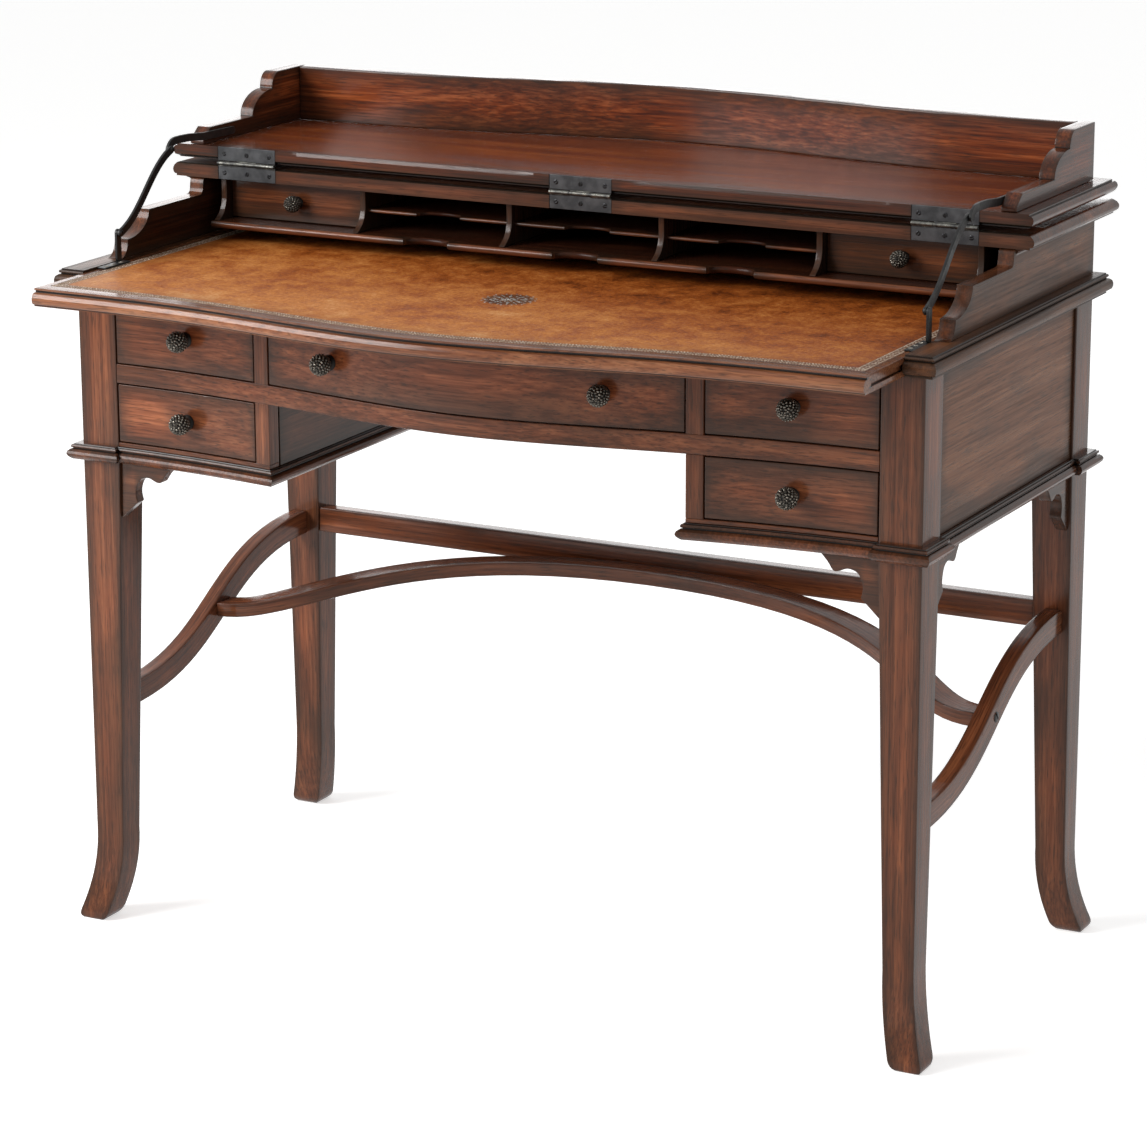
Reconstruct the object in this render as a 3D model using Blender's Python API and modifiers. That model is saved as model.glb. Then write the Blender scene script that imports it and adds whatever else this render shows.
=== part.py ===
"""Campaign writing desk with a pull-out leather slide and a flip-over gallery lid.

Metres, +Z up, the front towards -Y, the floor at Z = 0. Shapes are written in desk
coordinates: X = 0 is the middle, Y = 0 the front face of the legs. The whole desk hangs on
one empty that brings the middle of its plan to the origin. It is shown open: the lid lies
folded back on the top board and the slide is drawn forward.
"""
import math

import bmesh
import bpy
from mathutils import Matrix, Vector

# Clearances
CLEAR = 0.0003
RUN = 0.0005

# Base: legs and case
WIDTH = 1.030
DEPTH = 0.4806
LEG = 0.0488
LEG_ANKLE = 0.036
LEG_SOLE = 0.034
ANKLE_Z = 0.100
FOOT_FLARE = 0.016
SOLE_EASE = 0.003
FLARE_STEPS = 5
WAIST_Z = 0.552
BASE_THICK = 0.018
CASE_HEIGHT = 0.1787
PANEL_THICK = 0.016
PANEL_INSET = 0.003
CHEEK_THICK = 0.015
BED_THICK = 0.007

# Face frame, drawers and the serpentine front
FRAME_THICK = 0.020
PEDESTAL_WIDTH = 0.2603
STILE = 0.0192
BOTTOM_RAIL = 0.0049
LOWER_OPENING = 0.069
MID_RAIL = 0.0215
TOP_RAIL = 0.0077
BOW_KNEE = 0.0165
BOW_CENTRE = 0.054
KNEE_SLOPE = 0.15
BOW_STEPS = 20
FRONT_THICK = 0.020
DRAWER_WALL = 0.010
DRAWER_FLOOR = 0.006
DRAWER_REAR_GAP = 0.0336
RIB_WIDTH = 0.015
DUST_THICK = 0.010

# Waist moulding and brackets
WAIST_OUT = 0.008
WAIST_STEP = 0.006
WAIST_ROUND = 0.005
BRACKET_REACH = 0.068
BRACKET_DROP = 0.066
BRACKET_THICK = 0.014
BRACKET_INSET = 0.004

# Stretchers
STRETCHER_THICK = 0.020
STRETCHER_INSET = 0.008
SIDE_STRETCHER_TALL = 0.0285
SIDE_STRETCHER_FRONT_Z = 0.263
SIDE_STRETCHER_REAR_Z = 0.3795
REAR_STRETCHER_TALL = 0.031
REAR_STRETCHER_Z = 0.3835
BOW_DEEP = 0.035
BOW_TALL = 0.0165
BOW_END_SHARE = 0.466
BOW_END_Z = 0.3275
REAR_STRETCHER_IN = 0.0419
BOW_RISE = 0.0548
BOW_END_PULL = 0.227
BOW_MID_PULL = 0.709

# Writing slide and the fixed boards beside it
TOP_NOSE = 0.0185
TOP_THICK = 0.0228
TOP_ROUND = 0.007
REAR_NOSE = 0.014
SLIDE_THICK = 0.020
SLIDE_ROUND = 0.006
SLIDE_OUT = 0.096
SLIDE_REAR_GAP = 0.0256
SLIDE_KNEE = 0.0115
SLIDE_CENTRE = 0.0465
TONGUE_OUT = 0.006
TONGUE_TALL = 0.006
TONGUE_GAP = 0.0008
LEATHER_THICK = 0.0016
LEATHER_SIDE = 0.0185
LEATHER_FRONT = 0.036
LEATHER_REAR = 0.015

# Upper case
UPPER_THICK = 0.018
UPPER_INSET = 0.0021
SCROLL_FOOT_Y = 0.062
SCROLL_STEP_Y = 0.0773
SCROLL_STEP_RISE = 0.0205
SCROLL_TOP_Y = 0.1221
SCROLL_TOP_RISE = 0.0482
OGEE_AHEAD = 0.0055
OGEE_BEHIND = 0.007
BOARD_THICK = 0.016
UPPER_TALL = 0.0677
BOARD_OUT = 0.0225
BOARD_ROUND = 0.006
BACK_THICK = 0.016

# Interior of the upper case
ROOM_GAP = 0.0195
PARTITION_THICK = 0.007
FLOOR_RISE = 0.0122
FLOOR_THICK = 0.008
FLOOR_AHEAD = 0.014
PARTITION_BEHIND = 0.0105
TOE_AHEAD = 0.008
TOE_RISE = 0.023
TOE_HOLLOW = 0.006
SHELF_RISE = 0.0205
SHELF_THICK = 0.004
SHELF_BEHIND = 0.017
NOTCH_WIDTH = 0.057
NOTCH_DEEP = 0.011
SMALL_DRAWER_BEHIND = 0.022
SMALL_DRAWER_REAR_GAP = 0.007
SMALL_WALL = 0.006

# Lid and its hinges
HINGE_AHEAD = 0.0053
HINGE_GAP = 0.006
EDGE_GAP = 0.0008
LID_OUT = 0.021
LID_NOSE = 0.0215
GALLERY_THICK = 0.016
GALLERY_TALL = 0.0645
GALLERY_SETBACK = 0.0005
GALLERY_RAIL = 0.018
GALLERY_BEHIND = 0.005
SCROLL_GAP = 0.0015
LEAF_WIDTH = 0.077
LEAF_THICK = 0.0018
LEAF_EDGE = 0.0004
LEAF_TONGUE = 0.004
KNUCKLE_RADIUS = 0.0026
PIN_RADIUS = 0.0011
PIN_GAP = 0.0003
KNUCKLE_HALF = 0.0125
HINGE_IN = 0.079

# Iron stays
STAY_THICK = 0.0032
STAY_GAP = 0.0004
STAY_WIDTH = 0.009
STRAP_AHEAD = 0.0614
STRAP_RISE = 0.0135
STRAP_BEHIND = 0.065
POST_Y = 0.0544
POST_RISE = 0.035
STAY_TAIL = 0.013
STAY_SWAY = 0.014
RIVET_RADIUS = 0.0038
RIVET_TALL = 0.0018
FOOT_PLATE_LONG = 0.050
FOOT_PLATE_WIDE = 0.0115
FOOT_PLATE_THICK = 0.002

# Knobs: radius of each turned ring and its distance out from the drawer front
KNOB_RINGS = (
    (0.0075, 0.0000), (0.0075, 0.0020), (0.0048, 0.0040), (0.0048, 0.0100),
    (0.0085, 0.0125), (0.0122, 0.0160), (0.0122, 0.0205), (0.0085, 0.0240),
)
KNOB_SIDES = 14
SMALL_KNOB = 0.82
KNOB_REACH = 0.65

# Derived places: plan of the case
HALF = WIDTH / 2
LEG_IN_X = HALF - LEG
PEDESTAL_X = HALF - PEDESTAL_WIDTH
STILE_X = PEDESTAL_X + STILE
KNEE_X = PEDESTAL_X + STILE / 2
PANEL_IN_X = HALF - PANEL_INSET - PANEL_THICK
UPPER_IN_X = HALF - UPPER_THICK
SLIDE_HALF = UPPER_IN_X - RUN
ROOM_HALF = UPPER_IN_X - ROOM_GAP
BAY = ROOM_HALF / 2.5
HINGE_X = HALF - HINGE_IN
STRAP_OUT_X = UPPER_IN_X - RUN
BAR_OUT_X = STRAP_OUT_X - STAY_THICK - STAY_GAP
BACK_Y = DEPTH - PANEL_INSET - PANEL_THICK
DRAWER_BACK_Y = BACK_Y - DRAWER_REAR_GAP
BOW_END_Y = DEPTH * BOW_END_SHARE
BOW_BACK = DEPTH - REAR_STRETCHER_IN - CLEAR - BOW_DEEP - BOW_END_Y
SLIDE_NOSE_Y = -TOP_NOSE - SLIDE_OUT
SLIDE_REAR_Y = BACK_Y - SLIDE_OUT - SLIDE_REAR_GAP

# Derived places: heights of the case
CASE_Z = WAIST_Z + BASE_THICK
CASE_TOP = CASE_Z + CASE_HEIGHT
LOWER_Z = CASE_Z + BOTTOM_RAIL
MID_Z = LOWER_Z + LOWER_OPENING
UPPER_Z = MID_Z + MID_RAIL
UPPER_TOP_Z = CASE_TOP - TOP_RAIL
TOP_Z = CASE_TOP + CLEAR + TOP_THICK
SLIDE_Z = CASE_TOP + CLEAR
SLIDE_TOP = SLIDE_Z + SLIDE_THICK
TONGUE_Z = SLIDE_Z + SLIDE_THICK / 2
POST_Z = SLIDE_TOP + POST_RISE

# Derived places: upper case, with the lid hinged over its middle
UPPER_REAR_Y = DEPTH - UPPER_INSET
BOARD_REAR_Y = DEPTH + REAR_NOSE
HINGE_Y = DEPTH / 2 - HINGE_AHEAD
EDGE_Y = HINGE_Y + EDGE_GAP
BOARD_UNDER_Z = TOP_Z + UPPER_TALL
BOARD_TOP_Z = BOARD_UNDER_Z + BOARD_THICK
ROOM_TOP = BOARD_UNDER_Z - CLEAR
ROOM_BACK_Y = UPPER_REAR_Y - BACK_THICK - CLEAR
SCROLL_STEP_Z = TOP_Z + SCROLL_STEP_RISE
SCROLL_TOP_Z = TOP_Z + SCROLL_TOP_RISE
OGEE_FOOT_Y = HINGE_Y - OGEE_AHEAD
OGEE_TOP_Y = HINGE_Y + OGEE_BEHIND
FLOOR_UNDER_Z = TOP_Z + FLOOR_RISE
FLOOR_TOP = FLOOR_UNDER_Z + FLOOR_THICK
FLOOR_FRONT_Y = HINGE_Y - FLOOR_AHEAD
PARTITION_FRONT_Y = HINGE_Y + PARTITION_BEHIND
PARTITION_TOE_Y = HINGE_Y - TOE_AHEAD
PARTITION_TOE_Z = FLOOR_TOP + TOE_RISE
SHELF_Z = FLOOR_TOP + SHELF_RISE
SHELF_FRONT_Y = HINGE_Y + SHELF_BEHIND
SMALL_DRAWER_Y = HINGE_Y + SMALL_DRAWER_BEHIND
SMALL_DRAWER_BACK_Y = ROOM_BACK_Y - SMALL_DRAWER_REAR_GAP

# Derived places: the lid as it lies open, and its stays
HINGE_Z = BOARD_TOP_Z + HINGE_GAP / 2
LID_UNDER_Z = BOARD_TOP_Z + HINGE_GAP
LID_TOP_Z = LID_UNDER_Z + BOARD_THICK
LID_REAR_Y = 2 * HINGE_Y + LID_NOSE
GALLERY_TOP_Z = LID_TOP_Z + GALLERY_TALL
GALLERY_REAR_Y = 2 * HINGE_Y + GALLERY_SETBACK
GALLERY_NOSE_Y = HINGE_Y + GALLERY_BEHIND
STRAP_Y = HINGE_Y - STRAP_AHEAD
STRAP_Z = LID_TOP_Z + STRAP_RISE
STRAP_REAR_Y = HINGE_Y + STRAP_BEHIND
PLAN_FRONT_Y = SLIDE_NOSE_Y - SLIDE_CENTRE
PLAN_REAR_Y = LID_REAR_Y + SLIDE_CENTRE
PLAN_MIDDLE_Y = (PLAN_FRONT_Y + PLAN_REAR_Y) / 2

SIDES = (("left", -1), ("right", 1))
AXES = {
    "X": Matrix(((0, 0, 1), (1, 0, 0), (0, 1, 0))),
    "Y": Matrix(((1, 0, 0), (0, 0, -1), (0, 1, 0))),
    "Z": Matrix.Identity(3),
}
MAHOGANY = ((0.085, 0.028, 0.016), 0.35, 0.0)
DARK_MAHOGANY = ((0.050, 0.018, 0.011), 0.40, 0.0)
LEATHER = ((0.330, 0.120, 0.035), 0.45, 0.0)
IRON = ((0.018, 0.017, 0.016), 0.55, 0.8)
BRONZE = ((0.045, 0.038, 0.032), 0.50, 0.9)

for old in list(bpy.data.objects):
    bpy.data.objects.remove(old, do_unlink=True)
PARTS = bpy.data.collections.new("campaign_desk")
CUTTERS = bpy.data.collections.new("cutters")
bpy.context.scene.collection.children.link(PARTS)
bpy.context.scene.collection.children.link(CUTTERS)


# Placing pieces
def empty(name, place, parent=None):
    """Add an empty at a place in desk coordinates, for the pieces that move with it."""
    holder = bpy.data.objects.new(name, None)
    PARTS.objects.link(holder)
    holder["desk_place"] = tuple(place)
    holder.location = Vector(place)
    if parent:
        holder.parent = parent
        holder.location -= Vector(parent["desk_place"])
    return holder


def paint(name, finish):
    """Make a piece's own Principled material from a colour, roughness and metallic value."""
    colour, roughness, metallic = finish
    material = bpy.data.materials.new(name + "_finish")
    material.use_nodes = True
    shader = material.node_tree.nodes["Principled BSDF"]
    shader.inputs["Base Color"].default_value = (*colour, 1.0)
    shader.inputs["Roughness"].default_value = roughness
    shader.inputs["Metallic"].default_value = metallic
    return material


def place(name, mesh, body, collection):
    """Hang a mesh written in desk coordinates on a body's empty."""
    mesh.name = name
    mesh.transform(Matrix.Translation(-Vector(body["desk_place"])))
    item = bpy.data.objects.new(name, mesh)
    item.parent = body
    collection.objects.link(item)
    return item


def part(name, mesh, finish, body):
    """Add one sub-part with its own material."""
    item = place(name, mesh, body, PARTS)
    item.data.materials.append(paint(name, finish))
    return item


def carve(item, mesh, operation="DIFFERENCE"):
    """Cut a sub-part with a mesh, or join the mesh to it."""
    cutter = place(item.name + "_cutter", mesh, item.parent, CUTTERS)
    cutter.hide_render = True
    cutter.display_type = "WIRE"
    step = item.modifiers.new(operation.lower(), "BOOLEAN")
    step.operation = operation
    step.object = cutter


# Shapes
def to_mesh(shape, name="shape"):
    """Turn a bmesh with outward faces into a mesh."""
    bmesh.ops.recalc_face_normals(shape, faces=shape.faces)
    mesh = bpy.data.meshes.new(name)
    shape.to_mesh(mesh)
    shape.free()
    return mesh


def baked(holder):
    """Read a helper object as Blender evaluates it, weld it and remove the helper."""
    bpy.context.scene.collection.objects.link(holder)
    graph = bpy.context.evaluated_depsgraph_get()
    mesh = bpy.data.meshes.new_from_object(holder.evaluated_get(graph))
    bpy.data.objects.remove(holder, do_unlink=True)
    shape = bmesh.new()
    shape.from_mesh(mesh)
    bmesh.ops.remove_doubles(shape, verts=shape.verts, dist=0.00001)
    return to_mesh(shape)


def box(low, high):
    """A block between two corners."""
    low = Vector(low)
    high = Vector(high)
    shape = bmesh.new()
    bmesh.ops.create_cube(shape, size=1.0)
    bmesh.ops.scale(shape, vec=high - low, verts=shape.verts)
    bmesh.ops.translate(shape, vec=(high + low) / 2, verts=shape.verts)
    return to_mesh(shape)


def mirrored(mesh, side):
    """The mesh as it is for the right side, or its mirror image for the left."""
    shape = bmesh.new()
    shape.from_mesh(mesh)
    bmesh.ops.scale(shape, vec=(side, 1, 1), verts=shape.verts)
    return to_mesh(shape)


def side_box(side, low, high):
    """A block written for the right side, mirrored for the left."""
    return mirrored(box(low, high), side)


def rod(centre, axis, radius, length, sides):
    """A capped cylinder along a world axis."""
    shape = bmesh.new()
    turn = {"X": Matrix.Rotation(math.pi / 2, 4, "Y"), "Y": Matrix.Rotation(math.pi / 2, 4, "X")}
    bmesh.ops.create_cone(
        shape, cap_ends=True, segments=sides, radius1=radius, radius2=radius, depth=length,
        matrix=Matrix.Translation(centre) @ turn[axis],
    )
    return to_mesh(shape)


def plate(outline, axis, low, high):
    """A flat outline, given across an axis, filled and thickened between two places on it."""
    curve = bpy.data.curves.new("outline", "CURVE")
    curve.dimensions = "2D"
    curve.fill_mode = "BOTH"
    curve.extrude = (high - low) / 2
    spline = curve.splines.new("POLY")
    spline.points.add(len(outline) - 1)
    for point, (across, up) in zip(spline.points, outline):
        point.co = (across, up, 0, 1)
    spline.use_cyclic_u = True
    mesh = baked(bpy.data.objects.new("outline", curve))
    mesh.transform(AXES[axis].to_4x4())
    middle = Vector([(low + high) / 2 if letter == axis else 0 for letter in "XYZ"])
    mesh.transform(Matrix.Translation(middle))
    return mesh


def loft(rings):
    """A closed skin through rings of as many points each."""
    shape = bmesh.new()
    loops = [[shape.verts.new(point) for point in ring] for ring in rings]
    count = len(loops[0])
    for below, above in zip(loops, loops[1:]):
        for here in range(count):
            there = (here + 1) % count
            shape.faces.new((below[here], below[there], above[there], above[here]))
    shape.faces.new(loops[0])
    shape.faces.new(loops[-1])
    return to_mesh(shape)


def turned(rings, sides):
    """A turned shape about Y: (radius, distance out) rings, standing out towards -Y."""
    profile = bpy.data.meshes.new("profile")
    points = [(0, -rings[0][1], 0)]
    points += [(radius, -out, 0) for radius, out in rings]
    points += [(0, -rings[-1][1], 0)]
    edges = [(step, step + 1) for step in range(len(points) - 1)]
    profile.from_pydata(points, edges, [])
    holder = bpy.data.objects.new("profile", profile)
    screw = holder.modifiers.new("turn", "SCREW")
    screw.axis = "Y"
    screw.steps = sides
    screw.render_steps = sides
    screw.use_merge_vertices = True
    screw.merge_threshold = 0.00001
    return baked(holder)


def slab(outline, low, high, width, keep, segments=2):
    """A level board from its plan, with the rims rounded that keep(middle, along) picks."""
    shape = bmesh.new()
    face = shape.faces.new([shape.verts.new((x, y, low)) for x, y in outline])
    raised = bmesh.ops.extrude_face_region(shape, geom=[face])["geom"]
    raised = [item for item in raised if isinstance(item, bmesh.types.BMVert)]
    bmesh.ops.translate(shape, vec=(0, 0, high - low), verts=raised)
    bmesh.ops.recalc_face_normals(shape, faces=shape.faces)
    picked = []
    for edge in shape.edges:
        first, last = (vert.co for vert in edge.verts)
        if abs(first.z - last.z) < CLEAR and keep((first + last) / 2, last - first):
            picked.append(edge)
    bmesh.ops.bevel(
        shape, geom=picked, offset=width, segments=segments, profile=0.5, affect="EDGES",
    )
    return to_mesh(shape)


# Curves
def spread(first, last, steps):
    """Evenly spaced values from first to last."""
    return [first + (last - first) * step / steps for step in range(steps + 1)]


def hermite(share, start, start_slope, end, end_slope):
    """Cubic between two values with given end slopes, share running from 0 to 1."""
    square = share * share
    cube = square * share
    return (
        (2 * cube - 3 * square + 1) * start + (cube - 2 * square + share) * start_slope
        + (3 * square - 2 * cube) * end + (cube - square) * end_slope
    )


def bezier(points, steps):
    """Points along a cubic curve with four control points."""
    first, second, third, last = (Vector(point) for point in points)
    found = []
    for share in spread(0, 1, steps):
        rest = 1 - share
        found.append(
            first * rest ** 3 + second * 3 * rest ** 2 * share
            + third * 3 * rest * share ** 2 + last * share ** 3
        )
    return found


def smooth(points, steps):
    """A smooth curve through points, steps to each stretch."""
    points = [Vector(point) for point in points]
    found = [points[0]]
    for here in range(len(points) - 1):
        before = points[max(here - 1, 0)]
        after = points[min(here + 2, len(points) - 1)]
        lead = points[here] + (points[here + 1] - before) / 6
        trail = points[here + 1] - (after - points[here]) / 6
        found += bezier((points[here], lead, trail, points[here + 1]), steps)[1:]
    return found


def arc(centre, radii, start, end, steps):
    """Points on an ellipse between two angles in degrees."""
    return [
        Vector((
            centre[0] + radii[0] * math.cos(math.radians(angle)),
            centre[1] + radii[1] * math.sin(math.radians(angle)),
        ))
        for angle in spread(start, end, steps)
    ]


def bow(across, knee, centre):
    """How far the serpentine front stands ahead of its corners."""
    across = abs(across)
    if across >= LEG_IN_X:
        return 0.0
    if across >= KNEE_X:
        span = LEG_IN_X - KNEE_X
        return hermite((across - KNEE_X) / span, knee, -KNEE_SLOPE * span, 0.0, 0.0)
    return hermite(across / KNEE_X, centre, 0.0, knee, -KNEE_SLOPE * KNEE_X)


def case_bow(across):
    """The bow of the case front."""
    return bow(across, BOW_KNEE, BOW_CENTRE)


def slide_bow(across):
    """The bow of the slide's front, of the lid's edge and of the gallery."""
    return bow(across, SLIDE_KNEE, SLIDE_CENTRE)


def leg_width(height):
    """A leg's width at a height: square above the waist, tapered below."""
    if height >= WAIST_Z:
        return LEG
    if height >= ANKLE_Z:
        return LEG_ANKLE + (LEG - LEG_ANKLE) * (height - ANKLE_Z) / (WAIST_Z - ANKLE_Z)
    return LEG_SOLE + (LEG_ANKLE - LEG_SOLE) * height / ANKLE_Z


def foot_flare(height):
    """How far a foot has turned out at a height."""
    return FOOT_FLARE * max(0.0, 1 - height / ANKLE_Z) ** 2


# Bodies
DESK = empty("desk_origin", (0, 0, 0))
DESK.location.y = -PLAN_MIDDLE_Y
LID = empty("lid_hinge", (0, HINGE_Y, HINGE_Z), DESK)
SLIDE = empty("slide_origin", (0, SLIDE_NOSE_Y, SLIDE_Z), DESK)


# Base
def legs():
    """Four legs, square at the case, tapered on the inner faces, with feet turned out."""
    heights = [0, SOLE_EASE]
    heights += spread(SOLE_EASE, ANKLE_Z, FLARE_STEPS)[1:]
    heights += [WAIST_Z, CASE_TOP]
    for side_name, side in SIDES:
        for end_name, rear in (("front", False), ("rear", True)):
            rings = []
            for height in heights:
                ease = SOLE_EASE if height == 0 else 0
                outer = HALF + foot_flare(height) - ease
                inner = HALF + foot_flare(height) - leg_width(height) + ease
                face = -foot_flare(height) + ease
                hidden = -foot_flare(height) + leg_width(height) - ease
                if rear:
                    face, hidden = DEPTH - face, DEPTH - hidden
                corners = ((inner, face), (outer, face), (outer, hidden), (inner, hidden))
                rings.append([(side * x, y, height) for x, y in corners])
            part(f"leg_{end_name}_{side_name}", loft(rings), MAHOGANY, DESK)


def case_outline():
    """Plan of a board that fills the case behind the face frame, cut round the legs."""
    wide = PANEL_IN_X - CLEAR
    narrow = LEG_IN_X - CLEAR
    front = FRAME_THICK + CLEAR
    leg_back = LEG + CLEAR
    leg_front = DEPTH - LEG - CLEAR
    rear = BACK_Y - CLEAR
    return [
        (-narrow, front), (narrow, front), (narrow, leg_back), (wide, leg_back),
        (wide, leg_front), (narrow, leg_front), (narrow, rear), (-narrow, rear),
        (-narrow, leg_front), (-wide, leg_front), (-wide, leg_back), (-narrow, leg_back),
    ]


def case_walls():
    """Side panels, back, kneehole cheeks and the bed that the slide runs on."""
    low = CASE_Z + CLEAR
    for side_name, side in SIDES:
        part(f"side_panel_{side_name}", side_box(
            side, (PANEL_IN_X, LEG + CLEAR, low),
            (PANEL_IN_X + PANEL_THICK, DEPTH - LEG - CLEAR, CASE_TOP),
        ), MAHOGANY, DESK)
        cheek_front = FRAME_THICK - case_bow(PEDESTAL_X + CHEEK_THICK) + CLEAR
        part(f"kneehole_cheek_{side_name}", side_box(
            side, (PEDESTAL_X, cheek_front, low),
            (PEDESTAL_X + CHEEK_THICK, BACK_Y - CLEAR, UPPER_Z - DUST_THICK - CLEAR),
        ), MAHOGANY, DESK)
    edge = LEG_IN_X - CLEAR
    outline = [
        (-edge, low), (-PEDESTAL_X, low), (-PEDESTAL_X, MID_Z), (PEDESTAL_X, MID_Z),
        (PEDESTAL_X, low), (edge, low), (edge, CASE_TOP), (-edge, CASE_TOP),
    ]
    part("back_panel", plate(outline, "Y", BACK_Y, BACK_Y + PANEL_THICK), MAHOGANY, DESK)
    bed = plate(case_outline(), "Z", CASE_TOP - BED_THICK, CASE_TOP)
    part("slide_bed", bed, DARK_MAHOGANY, DESK)


def face_frame():
    """Serpentine rails and inner stiles, cut out of one bowed slab."""
    edge = LEG_IN_X - CLEAR
    places = spread(-edge, edge, 2 * BOW_STEPS)
    outline = [(x, -case_bow(x)) for x in places]
    outline += [(x, FRAME_THICK - case_bow(x)) for x in reversed(places)]
    frame = part("face_frame", plate(outline, "Z", CASE_Z + CLEAR, CASE_TOP), MAHOGANY, DESK)
    ahead = -2 * BOW_CENTRE
    behind = 2 * FRAME_THICK
    openings = [
        ((-PEDESTAL_X, ahead, 0), (PEDESTAL_X, behind, MID_Z)),
        ((-PEDESTAL_X, ahead, UPPER_Z), (PEDESTAL_X, behind, UPPER_TOP_Z)),
    ]
    for low, high in openings:
        carve(frame, box(low, high))
    for _, side in SIDES:
        for low, high in ((LOWER_Z, MID_Z), (UPPER_Z, UPPER_TOP_Z)):
            carve(frame, side_box(side, (STILE_X, ahead, low), (HALF, behind, high)))


def bracket_outline():
    """A scrolled bracket: (distance from the leg at its top, drop below the waist) points."""
    reach = BRACKET_REACH
    drop = BRACKET_DROP
    nose = smooth((
        (reach, CLEAR), (reach * 0.86, drop * 0.16), (reach * 0.77, drop * 0.29),
        (reach * 0.68, drop * 0.30), (reach * 0.52, drop * 0.24), (reach * 0.35, drop * 0.30),
        (reach * 0.27, drop * 0.50), (reach * 0.30, drop * 0.69),
    ), 3)
    taper = LEG - leg_width(WAIST_Z - drop)
    tops = [(CLEAR, -BASE_THICK / 2), (reach, -BASE_THICK / 2)]
    return tops + [tuple(point) for point in nose] + [(CLEAR - taper, drop)]


def brackets(side):
    """The three brackets glued under a pedestal base: one in front and two at the side."""
    inset = BRACKET_INSET
    outline = bracket_outline()
    across = [(side * (LEG_IN_X - away), WAIST_Z - drop) for away, drop in outline]
    found = [plate(across, "Y", inset, inset + BRACKET_THICK)]
    ends = sorted((side * (HALF - inset), side * (HALF - inset - BRACKET_THICK)))
    for start, way in ((LEG, 1), (DEPTH - LEG, -1)):
        along = [(start + way * away, WAIST_Z - drop) for away, drop in outline]
        found.append(plate(along, "X", *ends))
    return found


def pedestal_bases():
    """Base boards under the pedestals, moulded and stepped out round the legs.

    The brackets are glued under each board, and two ribs on it carry the lower drawer.
    """
    out = WAIST_OUT
    step = WAIST_OUT + WAIST_STEP
    inner = PEDESTAL_X - out
    leg_x = LEG_IN_X - WAIST_STEP
    for side_name, side in SIDES:
        outline = [(x, -case_bow(x) - out) for x in spread(inner, leg_x, BOW_STEPS // 2)]
        outline += [
            (leg_x, -step), (HALF + step, -step), (HALF + step, LEG + WAIST_STEP),
            (HALF + out, LEG + WAIST_STEP), (HALF + out, DEPTH - LEG - WAIST_STEP),
            (HALF + step, DEPTH - LEG - WAIST_STEP), (HALF + step, DEPTH + step),
            (leg_x, DEPTH + step), (leg_x, DEPTH + out), (inner, DEPTH + out),
        ]
        board = slab(outline, WAIST_Z, CASE_Z, WAIST_ROUND, lambda middle, along: True)
        base = part(f"pedestal_base_{side_name}", mirrored(board, side), MAHOGANY, DESK)
        for low, high in ((0, LEG), (DEPTH - LEG, DEPTH)):
            carve(base, side_box(
                side, (LEG_IN_X - CLEAR, low - CLEAR, 0), (HALF + CLEAR, high + CLEAR, CASE_TOP),
            ))
        for bracket in brackets(side):
            carve(base, bracket, "UNION")
        for left in (PEDESTAL_X + CHEEK_THICK + CLEAR, LEG_IN_X - RIB_WIDTH):
            carve(base, side_box(
                side, (left, LEG, CASE_Z - BASE_THICK / 2),
                (left + RIB_WIDTH, BACK_Y - LEG, LOWER_Z + RUN - CLEAR),
            ), "UNION")


def bow_stretcher_line():
    """Front top edge of the bowed stretcher from the right end to the middle."""
    start = Vector((HALF - STRETCHER_INSET - STRETCHER_THICK - CLEAR, BOW_END_Y, BOW_END_Z))
    end = Vector((0, BOW_END_Y + BOW_BACK, BOW_END_Z + BOW_RISE))
    leave = start - Vector((BOW_END_PULL * HALF, 0, 0))
    arrive = end + Vector((BOW_MID_PULL * HALF, 0, 0))
    return bezier((start, leave, arrive, end), BOW_STEPS // 2)


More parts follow.
